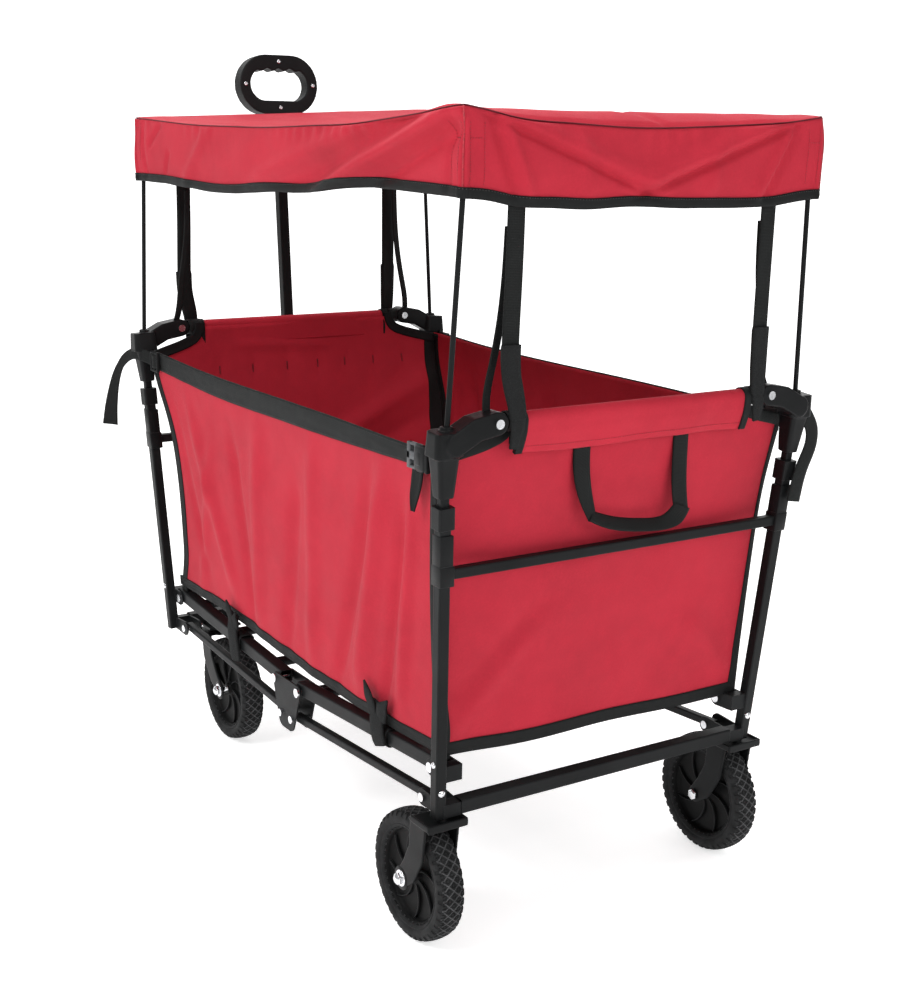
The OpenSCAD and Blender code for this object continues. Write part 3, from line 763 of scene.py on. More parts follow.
canopy = make_canopy()
hem_rows = [valance_point(HEM_Z + z, 0.0009 + 0.0004 * math.sin(z * 500)) for z in np.linspace(-0.0015, 0.0115, 7)]
wavy = 0.0012 * waves(RING_S, 0.5, 24, 41.0) + 0.0003 * np.sin(RING_S * TAU / 0.0127)
for i, row in enumerate(hem_rows):
    row[:, 0] += RING[:, 2] * wavy * (1 - i / 6)
    row[:, 1] += RING[:, 3] * wavy * (1 - i / 6)
    row[:, 2] += 0.0012 * waves(RING_S, 0.2, 14, 43.0) * (1 - i / 6)
hem = grid("canopy_hem_tape", np.array(hem_rows), TAPE, closed=True, thick=0.0022)
seam_path = np.stack([RING[:, 0] - RING[:, 2] * 0.0008, RING[:, 1] - RING[:, 3] * 0.0008, TOP_Z - 0.0012], 1)
canopy_seam = rod("canopy_seam", seam_path, 0.001, SEAM, sides=8, closed=True)

corner_seams, corner_threads = [], []
for i0 in [int(np.argmin(np.hypot(RING[:, 0] - sx * (CX - 0.0026), RING[:, 1] - sy * (CY - 0.0026))))
           for sx in (-1, 1) for sy in (-1, 1)]:
    path = [valance_point(TOP_Z + (HEM_Z - TOP_Z) * t, 0.0004)[i0] for t in np.linspace(0.02, 0.9, 24)]
    corner_seams.append(rod("corner_seam", path, 0.0011, FOLD_RED, sides=6))
    for d in (0.007, 0.029, -0.007, -0.029):
        j = ring_index(i0, d)
        path = [valance_point(z, 0.0007)[j] for z in np.linspace(1.074, 0.999, 16)]
        corner_threads.append(stitches("thread", path, RING_OUT[j], THREAD_RED))
    for side in (1, -1):
        js = [ring_index(i0, side * d) for d in np.linspace(0.007, 0.029, 6)]
        row = valance_point(1.056, 0.0007)
        corner_threads.append(stitches("thread", row[js], RING_OUT[js], THREAD_RED))
hem_thread = stitches("thread", valance_point(HEM_Z + 0.0098, 0.0024), RING_OUT, THREAD_BLACK, 0.0042)
canopy_corner_seams = join("canopy_corner_seams", corner_seams)
canopy_stitching = join("canopy_stitching", corner_threads)
hem_stitching = join("canopy_hem_stitching", [hem_thread])
canopy_parts = [hem, canopy_seam, canopy_corner_seams, canopy_stitching, hem_stitching]
for piece in [canopy] + canopy_parts:
    place(piece, "rear_frame", "red_fabric" if piece is canopy else "black_webbing")
    crumple(piece)
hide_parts("canopy_cover")

# ---- tub end walls --------------------------------------------------------------------------

MID_X = table([(0.262, 0.429), (0.28, 0.43), (0.4, 0.4425), (0.534, 0.456), (0.62, 0.4672), (0.668, 0.4735),
               (0.7, 0.4756), (0.735, 0.4766)])
CORNER_REAR = table([(0.262, 0.4305), (0.285, 0.431), (0.38, 0.4335), (0.48, 0.437), (0.6, 0.447),
                     (0.688, 0.46), (0.735, 0.464)])
CORNER_FRONT = table([(0.262, 0.42), (0.286, 0.416), (0.333, 0.4), (0.37, 0.395), (0.442, 0.391),
                      (0.511, 0.396), (0.58, 0.417), (0.645, 0.45), (0.688, 0.46), (0.735, 0.464)])
CORNER_Y = table([(0.262, 0.252), (0.285, 0.253), (0.38, 0.259), (0.48, 0.266), (0.6, 0.274),
                  (0.688, 0.2825), (0.735, 0.285)])
BAR_TACKS = (0.154, 0.09, 0.022, -0.04, -0.096, -0.155, -0.214)


def corner_x(z, sx):
    """How far from the middle the tub's corners stand."""
    return CORNER_REAR(z) if sx < 0 else CORNER_FRONT(z)


TOP_NOTCH = [(0, 0.722), (0.185, 0.722), (0.1862, 0.716), (0.19, 0.711), (0.195, 0.706), (0.21, 0.6985),
             (0.238, 0.6905), (0.262, 0.6845), (0.29, 0.68)]


def notch(y):
    """Height of an end wall's top edge."""
    return np.interp(np.abs(y), *zip(*TOP_NOTCH))


foot_rear = table([(-0.277, 0.268), (-0.15, 0.266), (-0.005, 0.27), (0.131, 0.269), (0.235, 0.276), (0.28, 0.277)])
foot_front = table([(-0.277, 0.272), (0, 0.268), (0.28, 0.274)])


END_FOLDS = {
    -1: (((0.245, 0.3), (0.13, 0.43), 0.0198, 0.0068), ((0.235, 0.345), (0.11, 0.47), 0.018, -0.0054),
         ((-0.235, 0.3), (-0.15, 0.4), 0.0162, 0.0054)),
    1: (((-0.265, 0.61), (-0.06, 0.5), 0.018, -0.0068), ((-0.255, 0.545), (-0.05, 0.43), 0.0162, 0.0054),
        ((0.12, 0.688), (-0.07, 0.676), 0.006, -0.003)),
}


def end_x(y, z, sx):
    """How far out an end wall stands, with its folds."""
    c = np.abs(y) / CORNER_Y(z)
    x = corner_x(z, sx) + (MID_X(z) - corner_x(z, sx)) * (1 - np.clip(c, 0, 1) ** 4)
    soft = 0.0028 * waves(y, z, 7, 11.0 * sx) * (1 - np.clip(c, 0, 1) ** 6)
    if sx > 0:
        soft = soft + sum(0.0014 * bell(y - b, 0.014) * bell(z - 0.645, 0.035) for b in BAR_TACKS)
    return x + folds(y, z, END_FOLDS[sx], soft)


def end_wall(name, sx, foot):
    """An end wall. Its outline depends on the height, so each row is found in a few steps."""
    ys = np.unique(np.concatenate([np.linspace(-1, 1, 111), [-0.735, -0.73, 0.73, 0.735]]))
    rows = []
    for t in np.linspace(0, 1, 64):
        y = ys * 0.2495
        for _ in range(4):
            z = foot(y) + (notch(y) - foot(y)) * t
            y = ys * CORNER_Y(z)
        z = foot(y) + (notch(y) - foot(y)) * t
        rows.append(np.stack([sx * end_x(y, z, sx), y, z], 1))
    return grid(name, np.array(rows), CANVAS, thick=CLOTH)


def end_strip(name, sx, path_yz, width, material, out=0.0013, thick=0.0018):
    """Tape sewn along a line on an end wall."""
    p = line(path_yz, 140)
    t = unit(np.gradient(p, axis=0))
    side = np.stack([-t[:, 1], t[:, 0]], 1)
    rows = []
    for a in np.linspace(-0.5, 0.5, 7):
        q = p + side * (np.broadcast_to(width, len(p))[:, None] * a)
        x = end_x(q[:, 0], q[:, 1], sx) + out + 0.0004 * (1 - (2 * a) ** 2)
        rows.append(np.stack([sx * x, q[:, 0], q[:, 1]], 1))
    return grid(name, np.transpose(np.array(rows), (1, 0, 2)), material, thick=thick)


def sleeve(name, sx):
    """The wall's top, wrapped over the rail and down as a loose flap, and its rows of points."""
    prof = [(0.4748, 0.69), (0.4752, 0.7), (0.4757, 0.712)]
    prof += [(RAIL_X - 0.0098 * math.cos(a), RAIL_Z + 0.0098 * math.sin(a)) for a in np.linspace(0, math.pi, 17)]
    prof += [(0.4952, 0.714), (0.494, 0.706), (0.4918, 0.698), (0.489, 0.69), (0.4862, 0.683), (0.4842, 0.6785)]
    prof = line(prof, 60)
    ys = np.linspace(-SLEEVE_Y, SLEEVE_Y, 90)
    rows = []
    for i, (x, z) in enumerate(prof):
        k = max(0.0, (i - 30) / 29)
        dx = 0.0016 * waves(ys, z, 12, 17.0 * sx) * k + 0.0012 * k * np.sin(ys * 61)
        dz = 0.0022 * waves(ys, 0.3, 9, 19.0 * sx) * k
        rows.append(np.stack([sx * (x + dx), ys, z + dz], 1))
    return grid(name, np.array(rows), CANVAS, thick=CLOTH), np.array(rows)


def make_end(end, sx, foot):
    """The wall, sleeve, tapes and sewing of one end of the tub."""
    wall = end_wall(f"{end}_wall_fabric", sx, foot)
    slv, rows = sleeve(f"{end}_wall_sleeve", sx)
    parts = []
    for sy in (1, -1):
        edge = rows[:, -1 if sy > 0 else 0]
        path = edge + np.array([0, -0.004 * sy, 0])
        n = normals(path, (0, 1, 0)) * sx
        for out in (CLOTH, -CLOTH):
            parts.append(strap("tape", path + n * out, (0, 1, 0), 0.011, TAPE, thick=0.0024))
        cut = [(sy * 0.1885, 0.729), (sy * 0.19, 0.717), (sy * 0.1965, 0.7055), (sy * 0.212, 0.6965),
               (sy * 0.238, 0.6885), (sy * 0.262, 0.6825), (sy * 0.279, 0.678)]
        parts.append(end_strip("tape", sx, cut, 0.017, TAPE, 0.0002, 0.0042))
        zs = np.linspace(0.268, 0.686, 40)
        wide = np.interp(np.linspace(0, 1, 140), [0, 0.35, 0.7, 1],
                         [0.015, 0.01, 0.007, 0.01] if sx < 0 else [0.022] * 4)
        corner = [(sy * (float(CORNER_Y(z)) - (0.003 if sx < 0 else 0.009)), z) for z in zs]
        parts.append(end_strip("tape", sx, corner, wide, TAPE, 0.0004, 0.0036))
    ys = np.linspace(-0.252, 0.252, 60)
    low = [(y, float(foot(y)) + 0.007) for y in ys]
    parts.append(end_strip("tape", sx, low, 0.018, TAPE, 0.0004, 0.004))
    binding = join(f"{end}_wall_binding", parts)
    threads = []
    for b in BAR_TACKS if sx > 0 else ():
        for dy in (-0.0008, 0.0008):
            zz = np.linspace(0.637, 0.653, 5)
            x = end_x(np.full(5, b + dy), zz, sx) - 0.0011
            path = np.stack([x, np.full(5, b + dy), zz], 1)
            threads.append(stitches("thread", path, (-1, 0, 0), TACK, 0.0021, 0.9, 0.0016))
    run = rows[-6] + np.array([sx * 0.0012, 0, 0])
    threads.append(stitches("thread", run, (sx, 0, 0), THREAD_RED))
    sewing = join(f"{end}_wall_stitching", threads)
    for piece in (wall, slv, binding, sewing):
        place(piece, f"{end}_frame", "red_fabric" if piece in (wall, slv) else "black_webbing")
    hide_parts(f"tub_end_{end}")


make_end("rear", -1, foot_rear)
make_end("front", 1, foot_front)

# ---- tub side walls and their webbing ------------------------------------------------------

foot_side = table([(-0.43, 0.277), (-0.4, 0.275), (-0.138, 0.268), (0.004, 0.272), (0.223, 0.283), (0.389, 0.281),
                   (0.43, 0.28)])
WEB_TOP = table([(-0.47, 0.683), (-0.391, 0.683), (-0.216, 0.6845), (0.014, 0.6835), (0.191, 0.683),
                 (0.33, 0.686), (0.426, 0.6895), (0.47, 0.69)])
WEB_LOW = table([(-0.47, 0.66), (-0.386, 0.659), (-0.216, 0.6545), (0.014, 0.651), (0.193, 0.65),
                 (0.33, 0.655), (0.428, 0.659), (0.47, 0.66)])
SIDE_FOLDS = (
    ((-0.33, 0.66), (-0.215, 0.3), 0.0204, 0.0112), ((-0.29, 0.64), (-0.15, 0.29), 0.0153, -0.009),
    ((-0.395, 0.64), (-0.33, 0.31), 0.0136, 0.009), ((-0.365, 0.6), (-0.285, 0.3), 0.0119, -0.0083),
    ((-0.12, 0.64), (-0.07, 0.29), 0.0187, 0.0067), ((-0.06, 0.56), (0.01, 0.29), 0.017, -0.0067),
    ((0.06, 0.64), (0.105, 0.3), 0.0221, 0.0075), ((0.16, 0.6), (0.13, 0.3), 0.0153, -0.0067),
    ((0.33, 0.64), (0.19, 0.33), 0.0187, 0.0075), ((0.39, 0.62), (0.3, 0.34), 0.0136, -0.0067),
    ((0.24, 0.56), (0.33, 0.3), 0.0153, 0.006),
)


def side_y(x, z, sy):
    """How far out a side wall stands, with its folds."""
    c = np.clip(np.where(x < 0, -x / CORNER_REAR(z), x / CORNER_FRONT(z)), 0, 1)
    middle = 0.253 + (z - 0.285) * 0.0735
    y = middle - (middle - CORNER_Y(z)) * c**6
    fade = 1 - c**8
    lower = np.clip((0.66 - z) / 0.1, 0, 1)
    soft = 0.0022 * waves(x * 2.4, z * 0.7, 5, 23.0 * sy) + 0.0015 * waves(x, z, 11, 29.0)
    return y + folds(x, z, SIDE_FOLDS, soft) * fade * (0.25 + 0.75 * lower)


def side_wall(name, sy):
    """A side wall. Its outline depends on the height, so each row is found in a few steps."""
    us = np.linspace(-1, 1, 201)
    rows = []
    for t in np.linspace(0, 1, 66):
        x = us * 0.43
        for _ in range(4):
            z = foot_side(x) + (WEB_TOP(x) - 0.002 - foot_side(x)) * t
            x = -CORNER_REAR(z) + (CORNER_REAR(z) + CORNER_FRONT(z)) * (us + 1) / 2
        z = foot_side(x) + (WEB_TOP(x) - 0.002 - foot_side(x)) * t
        rows.append(np.stack([x, sy * side_y(x, z, sy), z], 1))
    return grid(name, np.array(rows), CANVAS, thick=CLOTH)


def side_band(name, sy, low, high, x0, x1, material, out, thick, n=160, shape=0.0):
    """Webbing or tape on a side wall, between the heights low(x) and high(x)."""
    xs = np.linspace(x0, x1, n)
    rows = []
    for a in np.linspace(0, 1, 9):
        z = low(xs) + (high(xs) - low(xs)) * a
        y = side_y(xs, z, sy) + out + shape * (1 - (2 * a - 1) ** 2) + 0.0006 * waves(xs, a, 25, 31.0)
        rows.append(np.stack([xs, sy * y, z], 1))
    rows = np.transpose(np.array(rows), (1, 0, 2))
    return grid(name, rows, material, thick=thick)


for side, sy in SIDES:
    wall = side_wall(f"side_wall_{side}", sy)
    webbing = side_band(f"side_webbing_{side}", sy, WEB_LOW, WEB_TOP, -0.402, 0.428, WEBBING, 0.0016, 0.0022, 260,
                        0.0006)
    low = side_band("tape", sy, lambda x: foot_side(x) - 0.001, lambda x: foot_side(x) + 0.015, -0.428, 0.428,
                    TAPE, 0.0003, 0.004, 200)
    ends = []
    for sx in (-1, 1):
        zs = np.linspace(0.27, 0.686, 60)
        rows = []
        for a in np.linspace(0, 1, 5):
            x = sx * (corner_x(zs, sx) - 0.0005 - 0.015 * (1 - a))
            y = side_y(x, zs, sy) + 0.0003
            rows.append(np.stack([x, sy * y, zs], 1))
        ends.append(grid("tape", np.transpose(np.array(rows), (1, 0, 2)), TAPE, thick=0.0036))
    binding = join(f"side_binding_{side}", [low] + ends)
    sewn = []
    for up in (0.003, -0.003):
        xs = np.linspace(-0.398, 0.424, 260)
        z = (WEB_TOP(xs) if up < 0 else WEB_LOW(xs)) + up
        y = side_y(xs, z, sy) + 0.0032
        sewn.append(stitches("thread", np.stack([xs, sy * y, z], 1), (0, sy, 0), THREAD_BLACK, 0.0042))
    sewing = join(f"side_stitching_{side}", sewn)
    for piece in (wall, webbing, binding, sewing):
        place(piece, "rear_frame", "red_fabric" if piece is wall else "black_webbing")
        crumple(piece)
    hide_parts("tub_sides")
    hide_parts("side_webbing")

# ---- buckles, adjusters and loose strap ends ------------------------------------------------


def strap_end(name, sy):
    """The loose end below a rear buckle, which hangs and turns."""
    if sy > 0:
        pts = [(-0.424, 0.288, 0.672), (-0.4235, 0.29, 0.657), (-0.4225, 0.2915, 0.64), (-0.419, 0.2925, 0.622),
               (-0.4165, 0.293, 0.604)]
        widths = [(0, 0.025), (0.35, 0.024), (0.7, 0.016), (1, 0.006)]
        twist = [(0, 90), (0.3, 90), (1, 118)]
    else:
        pts = [(-0.402, 0.2905, 0.68), (-0.44, 0.295, 0.69), (-0.47, 0.2915, 0.7), (-0.49, 0.289, 0.7),
               (-0.492, 0.302, 0.685), (-0.492, 0.3131, 0.6677), (-0.492, 0.3144, 0.6462),
               (-0.492, 0.3014, 0.6151),
               (-0.4915, 0.2925, 0.585), (-0.491, 0.2888, 0.564)]
        widths = [(0, 0.024), (0.5, 0.022), (1, 0.024)]
        twist = [(0, 0), (0.25, 0), (0.45, 80), (1, 90)]
    p = line(pts, 110)
    p[:, 1] *= sy
    t = np.linspace(0, 1, len(p))
    w = np.interp(t, *zip(*widths))
    a = np.radians(np.interp(t, *zip(*twist)))
    if sy > 0:
        ref = np.stack([np.sin(a), -0.6 * np.cos(a), 0 * a], 1)
    else:
        ref = np.stack([0 * a, -np.sin(a), np.cos(a)], 1)
    return strap(name, p, ref, w, WEBBING, thick=0.0018, crown=0.0008, cols=7)


def buckle(name, sy):
    """A rear side-release buckle in front of the webbing's end."""
    parts = []

    def box(low, high, bevel=0.0015):
        parts.append(lump("part", low, high, bevel))

    box((-0.4465, 0.2862, 0.6585), (-0.4225, 0.2962, 0.6895), 0.003)
    box((-0.449, 0.2875, 0.657), (-0.4445, 0.294, 0.691), 0.0015)
    for z in (0.6565, 0.6865):
        box((-0.44, 0.288, z), (-0.424, 0.294, z + 0.005), 0.0018)
    box((-0.438, 0.2955, 0.666), (-0.428, 0.2968, 0.682), 0.0006)
    for p in parts:
        p.data.materials.append(CLIP_PLASTIC)
    face = []
    # the grey frame's bars, and last the dark plate behind them
    for low, high in (((-0.4222, 0.2866, 0.669), (-0.401, 0.293, 0.679)),
                      ((-0.408, 0.2866, 0.6575), (-0.401, 0.293, 0.6905)),
                      ((-0.4222, 0.2866, 0.6575), (-0.418, 0.293, 0.6905)),
                      ((-0.4222, 0.2866, 0.6575), (-0.401, 0.2925, 0.661)),
                      ((-0.4222, 0.2866, 0.687), (-0.401, 0.2925, 0.6905)),
                      ((-0.42, 0.2866, 0.66), (-0.403, 0.2885, 0.688))):
        face.append(lump("part", low, high, 0.0009))
    for p in face:
        p.data.materials.append(CLIP_GREY)
    face[-1].data.materials[0] = CLIP_PLASTIC
    for p in parts + face:
        p.data.polygons.foreach_set("use_smooth", [False] * len(p.data.polygons))
    return flipped(join(name, parts + face), sy)


def adjuster(name, sy):
    """A front strap adjuster: three bars between two."""
    parts = []
    for x in (0.42, 0.432, 0.446):
        parts.append(lump("bar", (x - 0.0021, 0.285, 0.657), (x + 0.0021, 0.2915, 0.69), 0.0012))
    for z in (0.658, 0.6885):
        parts.append(lump("bar", (0.4185, 0.285, z - 0.0022), (0.4485, 0.2915, z + 0.0022), 0.0012))
    return flipped(moulded(name, parts, 0.0011, 3, CLIP_PLASTIC), sy)


def front_tail(name, sy):
    """The loose end of a front adjuster, which bows outwards and hangs."""
    pts = [(0.421, 0.286, 0.674), (0.432, 0.2925, 0.675), (0.446, 0.289, 0.676), (0.46, 0.296, 0.68),
           (0.486, 0.306, 0.681), (0.513, 0.314, 0.666), (0.533, 0.319, 0.64), (0.546, 0.322, 0.608),
           (0.554, 0.324, 0.576), (0.558, 0.325, 0.548)]
    p = line(pts, 110)
    p[:, 1] *= sy
    t = np.linspace(0, 1, len(p))
    w = np.interp(t, [0, 0.3, 0.5, 0.7, 1], [0.024, 0.019, 0.013, 0.017, 0.026])
    k = np.interp(t, [0, 0.3, 0.6, 0.8, 1], [0, 0.1, 0.5, 0.9, 1.0])
    ref = np.stack([0.54 * k, 0.84 * k * sy, 1 - k], 1)
    return strap(name, p, ref, w, WEBBING, thick=0.0018, crown=0.0006, cols=7)


for side, sy in SIDES:
    clip = buckle(f"buckle_{side}", sy)
    tail = strap_end(f"buckle_tail_{side}", sy)
    slide = adjuster(f"adjuster_{side}", sy)
    loose = front_tail(f"adjuster_tail_{side}", sy)
    place(clip, "rear_frame", "black_plastic", "rear_buckles")
    place(tail, "rear_frame", "black_webbing", "rear_buckles")
    place(slide, "front_frame", "black_plastic", "strap_adjusters")
    place(loose, "front_frame", "black_webbing", "strap_adjusters")

# ---- carry strap on the rear wall -----------------------------------------------------------


def patch(name, edge_a, edge_b, n, material, bow=0.0):
    """A flat strip of webbing between two edges."""
    a, b = line(edge_a, n), line(edge_b, n)
    rows = [[a[i] * (1 - k) + b[i] * k - np.array([bow * (1 - (2 * k - 1) ** 2), 0, 0]) for k in np.linspace(0, 1, 7)]
            for i in range(n)]
    return grid(name, np.array(rows), material, thick=0.002)


def carry():
    """The carry strap: two legs and the band that hangs between them."""
    left = patch("leg",
                 [(-0.477, 0.0915, 0.69), (-0.4775, 0.0905, 0.64), (-0.48, 0.081, 0.605),
                  (-0.485, 0.069, 0.578)],
                 [(-0.477, 0.0655, 0.69), (-0.4775, 0.065, 0.64), (-0.4785, 0.0605, 0.61),
                  (-0.48, 0.056, 0.588)],
                 50, WEBBING, 0.0008)
    right = patch("leg",
                  [(-0.477, -0.0735, 0.69), (-0.4775, -0.073, 0.64), (-0.4785, -0.0745, 0.6),
                   (-0.48, -0.0765, 0.582)],
                  [(-0.477, -0.0985, 0.69), (-0.4775, -0.098, 0.64), (-0.479, -0.099, 0.6),
                   (-0.482, -0.1005, 0.574)],
                  50, WEBBING, 0.0008)
    band = patch("band",
                 [(-0.4865, 0.07, 0.5795), (-0.489, 0.048, 0.569), (-0.49, 0.01, 0.559),
                  (-0.4905, -0.03, 0.554),
                          (-0.4905, -0.059, 0.553), (-0.489, -0.085, 0.559), (-0.485, -0.101, 0.5755)],
                 [(-0.48, 0.06, 0.59), (-0.479, 0.035, 0.581), (-0.4785, 0.0, 0.573),
                  (-0.4785, -0.03, 0.569),
                  (-0.4785, -0.056, 0.569), (-0.479, -0.069, 0.575), (-0.481, -0.078, 0.585)], 90, WEBBING,
                  0.001)
    return join("carry_strap_loop", [left, right, band])


place(carry(), "rear_frame", "black_webbing", "carry_strap")

# ---- canopy straps over the top rails --------------------------------------------------------


def rail_wrap(x0, y, width, r):
    """A turn of webbing round a top rail."""
    a = np.linspace(0, TAU, 41)
    p = np.stack([x0 + r * np.cos(a), np.full(41, y), RAIL_Z + r * np.sin(a)], 1)
    p[-1] = p[0]
    return strap("wrap", p, (0, 1, 0), width, WEBBING, thick=0.0022)


for end, sx in ENDS:
    parts, soft = [], []
    for sy in (1, -1):
        bent = 1.0 if sy > 0 else 0.0
        ys = [0.1995 + bent * k for k in (0.004, 0.004, 0.005, 0.0065, 0.004, -0.003, -0.0065)]
        xs, zs = (0.4965, 0.496, 0.495, 0.4945, 0.4945, 0.495, 0.4965), (1.004, 0.96, 0.88, 0.815, 0.775, 0.745,
                                                                            0.722)
        top = line(mirror(sx, sy, *zip(xs, ys, zs)), 130)
        wide = np.interp(top[:, 2], [0.722, 0.76, 0.812, 0.817, 1.0], [0.022, 0.0255, 0.0275, 0.0245, 0.0245])
        soft.append(strap("strap", top, (0, 1, 0), wide, WEBBING, crown=0.0006))
        xs, zs = (0.4966, 0.4966, 0.4972, 0.4985), (0.816, 0.775, 0.746, 0.724)
        pad = line(mirror(sx, sy, *zip(xs, [y + 0.0002 for y in ys[3:]], zs)), 60)
        wide = np.interp(pad[:, 2], [0.724, 0.76, 0.816], [0.0225, 0.026, 0.0275])
        parts.append(strap("pad", pad, (0, 1, 0), wide, LOOP_TAPE, thick=0.0026))
        parts.append(rail_wrap(sx * RAIL_X, sy * (ys[6] + 0.002), 0.0225, 0.0118))
        tab = line(mirror(sx, sy, (0.4978, ys[6] + 0.001, 0.728), (0.4985, ys[6] + 0.002, 0.712),
                          (0.4965, ys[6] + 0.0035, 0.698), (0.4945, ys[6] + 0.0045, 0.688)), 30)
        wide = np.interp(tab[:, 2], [0.688, 0.7, 0.72], [0.0125, 0.0155, 0.021])
        parts.append(strap("tab", tab, (0, 1, 0), wide, LOOP_TAPE, thick=0.0024))
        back = line(mirror(sx, sy, (0.48, 0.203, 0.955), (0.479, 0.2075, 0.87), (0.4775, 0.22, 0.79),
                           (0.4765, 0.227, 0.745), (0.48, 0.229, 0.7335)), 80)
        soft.append(strap("strand", back, (0, 1, 0), 0.0105, WEBBING, thick=0.0014))
    for kind, pieces in (("strands", soft), ("wraps", parts)):
        piece = join(f"{end}_canopy_strap_{kind}", pieces)
        place(piece, f"{end}_frame", "black_webbing", f"{end}_canopy_straps")

# ---- hook-and-loop ties round the side rails --------------------------------------------------


def tie(name, x, sy, prongs, body_w, foot_z):
    """A hook-and-loop tie sewn to the wall's foot that wraps the rail below it, with pointed ends."""
    t = (abs(x) - INNER_X) / (OUTER_X - INNER_X)
    zr = 0.236 + 0.024 * t
    y0, parts = 0.248, []
    ring = [(x, sy * (y0 + 0.012 * math.cos(a) * k), zr + 0.012 * math.sin(a) * k)
            for a, k in [(b, 1.0 + 0.2 * abs(math.sin(2 * b))) for b in np.linspace(0, TAU, 49)]]
    parts.append(strap("wrap", line(ring, 90), (1, 0, 0), body_w, LOOP_TAPE, thick=0.0024))
    front = line([(x - 0.006, sy * (y0 + 0.014), foot_z), (x - 0.001, sy * (y0 + 0.0158), zr + 0.002),
                  (x + 0.001, sy * (y0 + 0.0162), zr + 0.016),
                  (x + 0.001, sy * (y0 + 0.015), zr + 0.034), (x, sy * (y0 + 0.0125), zr + 0.048)], 60)
    wide = np.interp(np.linspace(0, 1, 60), [0, 0.12, 1], [body_w * 0.8, body_w, body_w * 0.92])
    parts.append(strap("body", front, (1, 0, 0), wide, LOOP_TAPE, thick=0.0028, crown=0.001, cols=7))
    for dx, tip_x, tip_z, w in prongs:
        p = line([(x + dx, sy * (y0 + 0.015), zr + 0.024), (x + dx * 1.1, sy * (y0 + 0.0165), zr + 0.038),
                  (x + (dx + tip_x) / 2, sy * (y0 + 0.018), (zr + 0.038 + tip_z) / 2),
                  (x + tip_x, sy * (y0 + 0.017), tip_z)], 40)
        wide = np.interp(np.linspace(0, 1, 40), [0, 0.35, 0.6, 1], [w * 0.8, w, w * 0.85, 0.002])
        parts.append(strap("prong", p, (1, 0, 0.25 * (1 if tip_x > 0 else -1)), wide, LOOP_TAPE,
                           thick=0.0026, crown=0.0012, cols=7))
    return join(name, parts)


for side, sy in SIDES:
    near = ((0.012, 0.034, 0.322, 0.022), (-0.012, -0.03, 0.312, 0.024))
    place(tie(f"rail_tie_rear_{side}", -0.282, sy, near, 0.036, 0.238), "rear_rail_unit", "black_webbing")
    far = ((0.004, 0.02, 0.311, 0.024), (-0.01, -0.016, 0.299, 0.018))
    place(tie(f"rail_tie_front_{side}", 0.19, sy, far, 0.034, 0.214), "front_rail_unit", "black_webbing")

# ---- floor boards and fold strap --------------------------------------------------------------


def lay_uv(obj):
    """UVs in metres as seen from above."""
    mesh = obj.data
    uv = mesh.uv_layers.new(name="UVMap")
    for item in mesh.loops:
        co = mesh.vertices[item.vertex_index].co
        uv.data[item.index].uv = (co.x, co.y)


def ease(t):
    """A smooth step from 0 to 1."""
    t = np.clip(t, 0, 1)
    return t * t * (3 - 2 * t)


for end, sx in ENDS:
    board = moulded(f"floor_board_{end}_cover", [from_node(f"floor_board_{end}")], 0.004, 2, TAPE)
    lay_uv(board)
    place(board, f"{end}_rail_unit", "black_webbing", f"floor_board_{end}")
    ys = np.linspace(-0.249, 0.249, 90)
    rows = []
    for x in np.linspace(0.36, 0.016, 60):
        top = OUTER_Z + 0.0218 - (OUTER_X - x) * RAIL_SLOPE
        brim = foot_side(sx * x) + 0.0065
        lift = ease((np.abs(ys) - 0.135) / 0.055)
        z = top + (brim - top) * lift + 0.0012 * waves(ys, x, 16, 47.0) * ease((np.abs(ys) - 0.1) / 0.05) + 0.0006
        rows.append(np.stack([np.full(90, sx * x), ys, z], 1))
    tray = grid(f"floor_fabric_{end}", np.array(rows), CANVAS, thick=CLOTH)
    place(tray, f"{end}_rail_unit", "red_fabric")

loop_low, loop_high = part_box("fold_strap")
lx, lz0, lz1 = 0.0098, loop_low.z + 0.0012, loop_high.z - 0.0012
loop = line([(-lx, 0, lz0 + 0.006), (-lx - 0.001, 0, lz0 + 0.03), (-lx + 0.001, 0, lz1 - 0.03),
             (-lx + 0.002, 0, lz1 - 0.01),
             (0, 0, lz1), (lx - 0.002, 0, lz1 - 0.01), (lx - 0.001, 0, lz1 - 0.03), (lx + 0.001, 0, lz0 + 0.03),
             (lx, 0, lz0 + 0.006), (0, 0, lz0), (-lx, 0, lz0 + 0.006)], 160)
place(strap("fold_strap_loop", loop, (0, 1, 0), 0.03, WEBBING, thick=0.002), "center_hinge", "black_webbing",
      "fold_strap")

# ---- wheels -----------------------------------------------------------------------------------

TREAD_N, TREAD_PITCH = 40, 0.0145


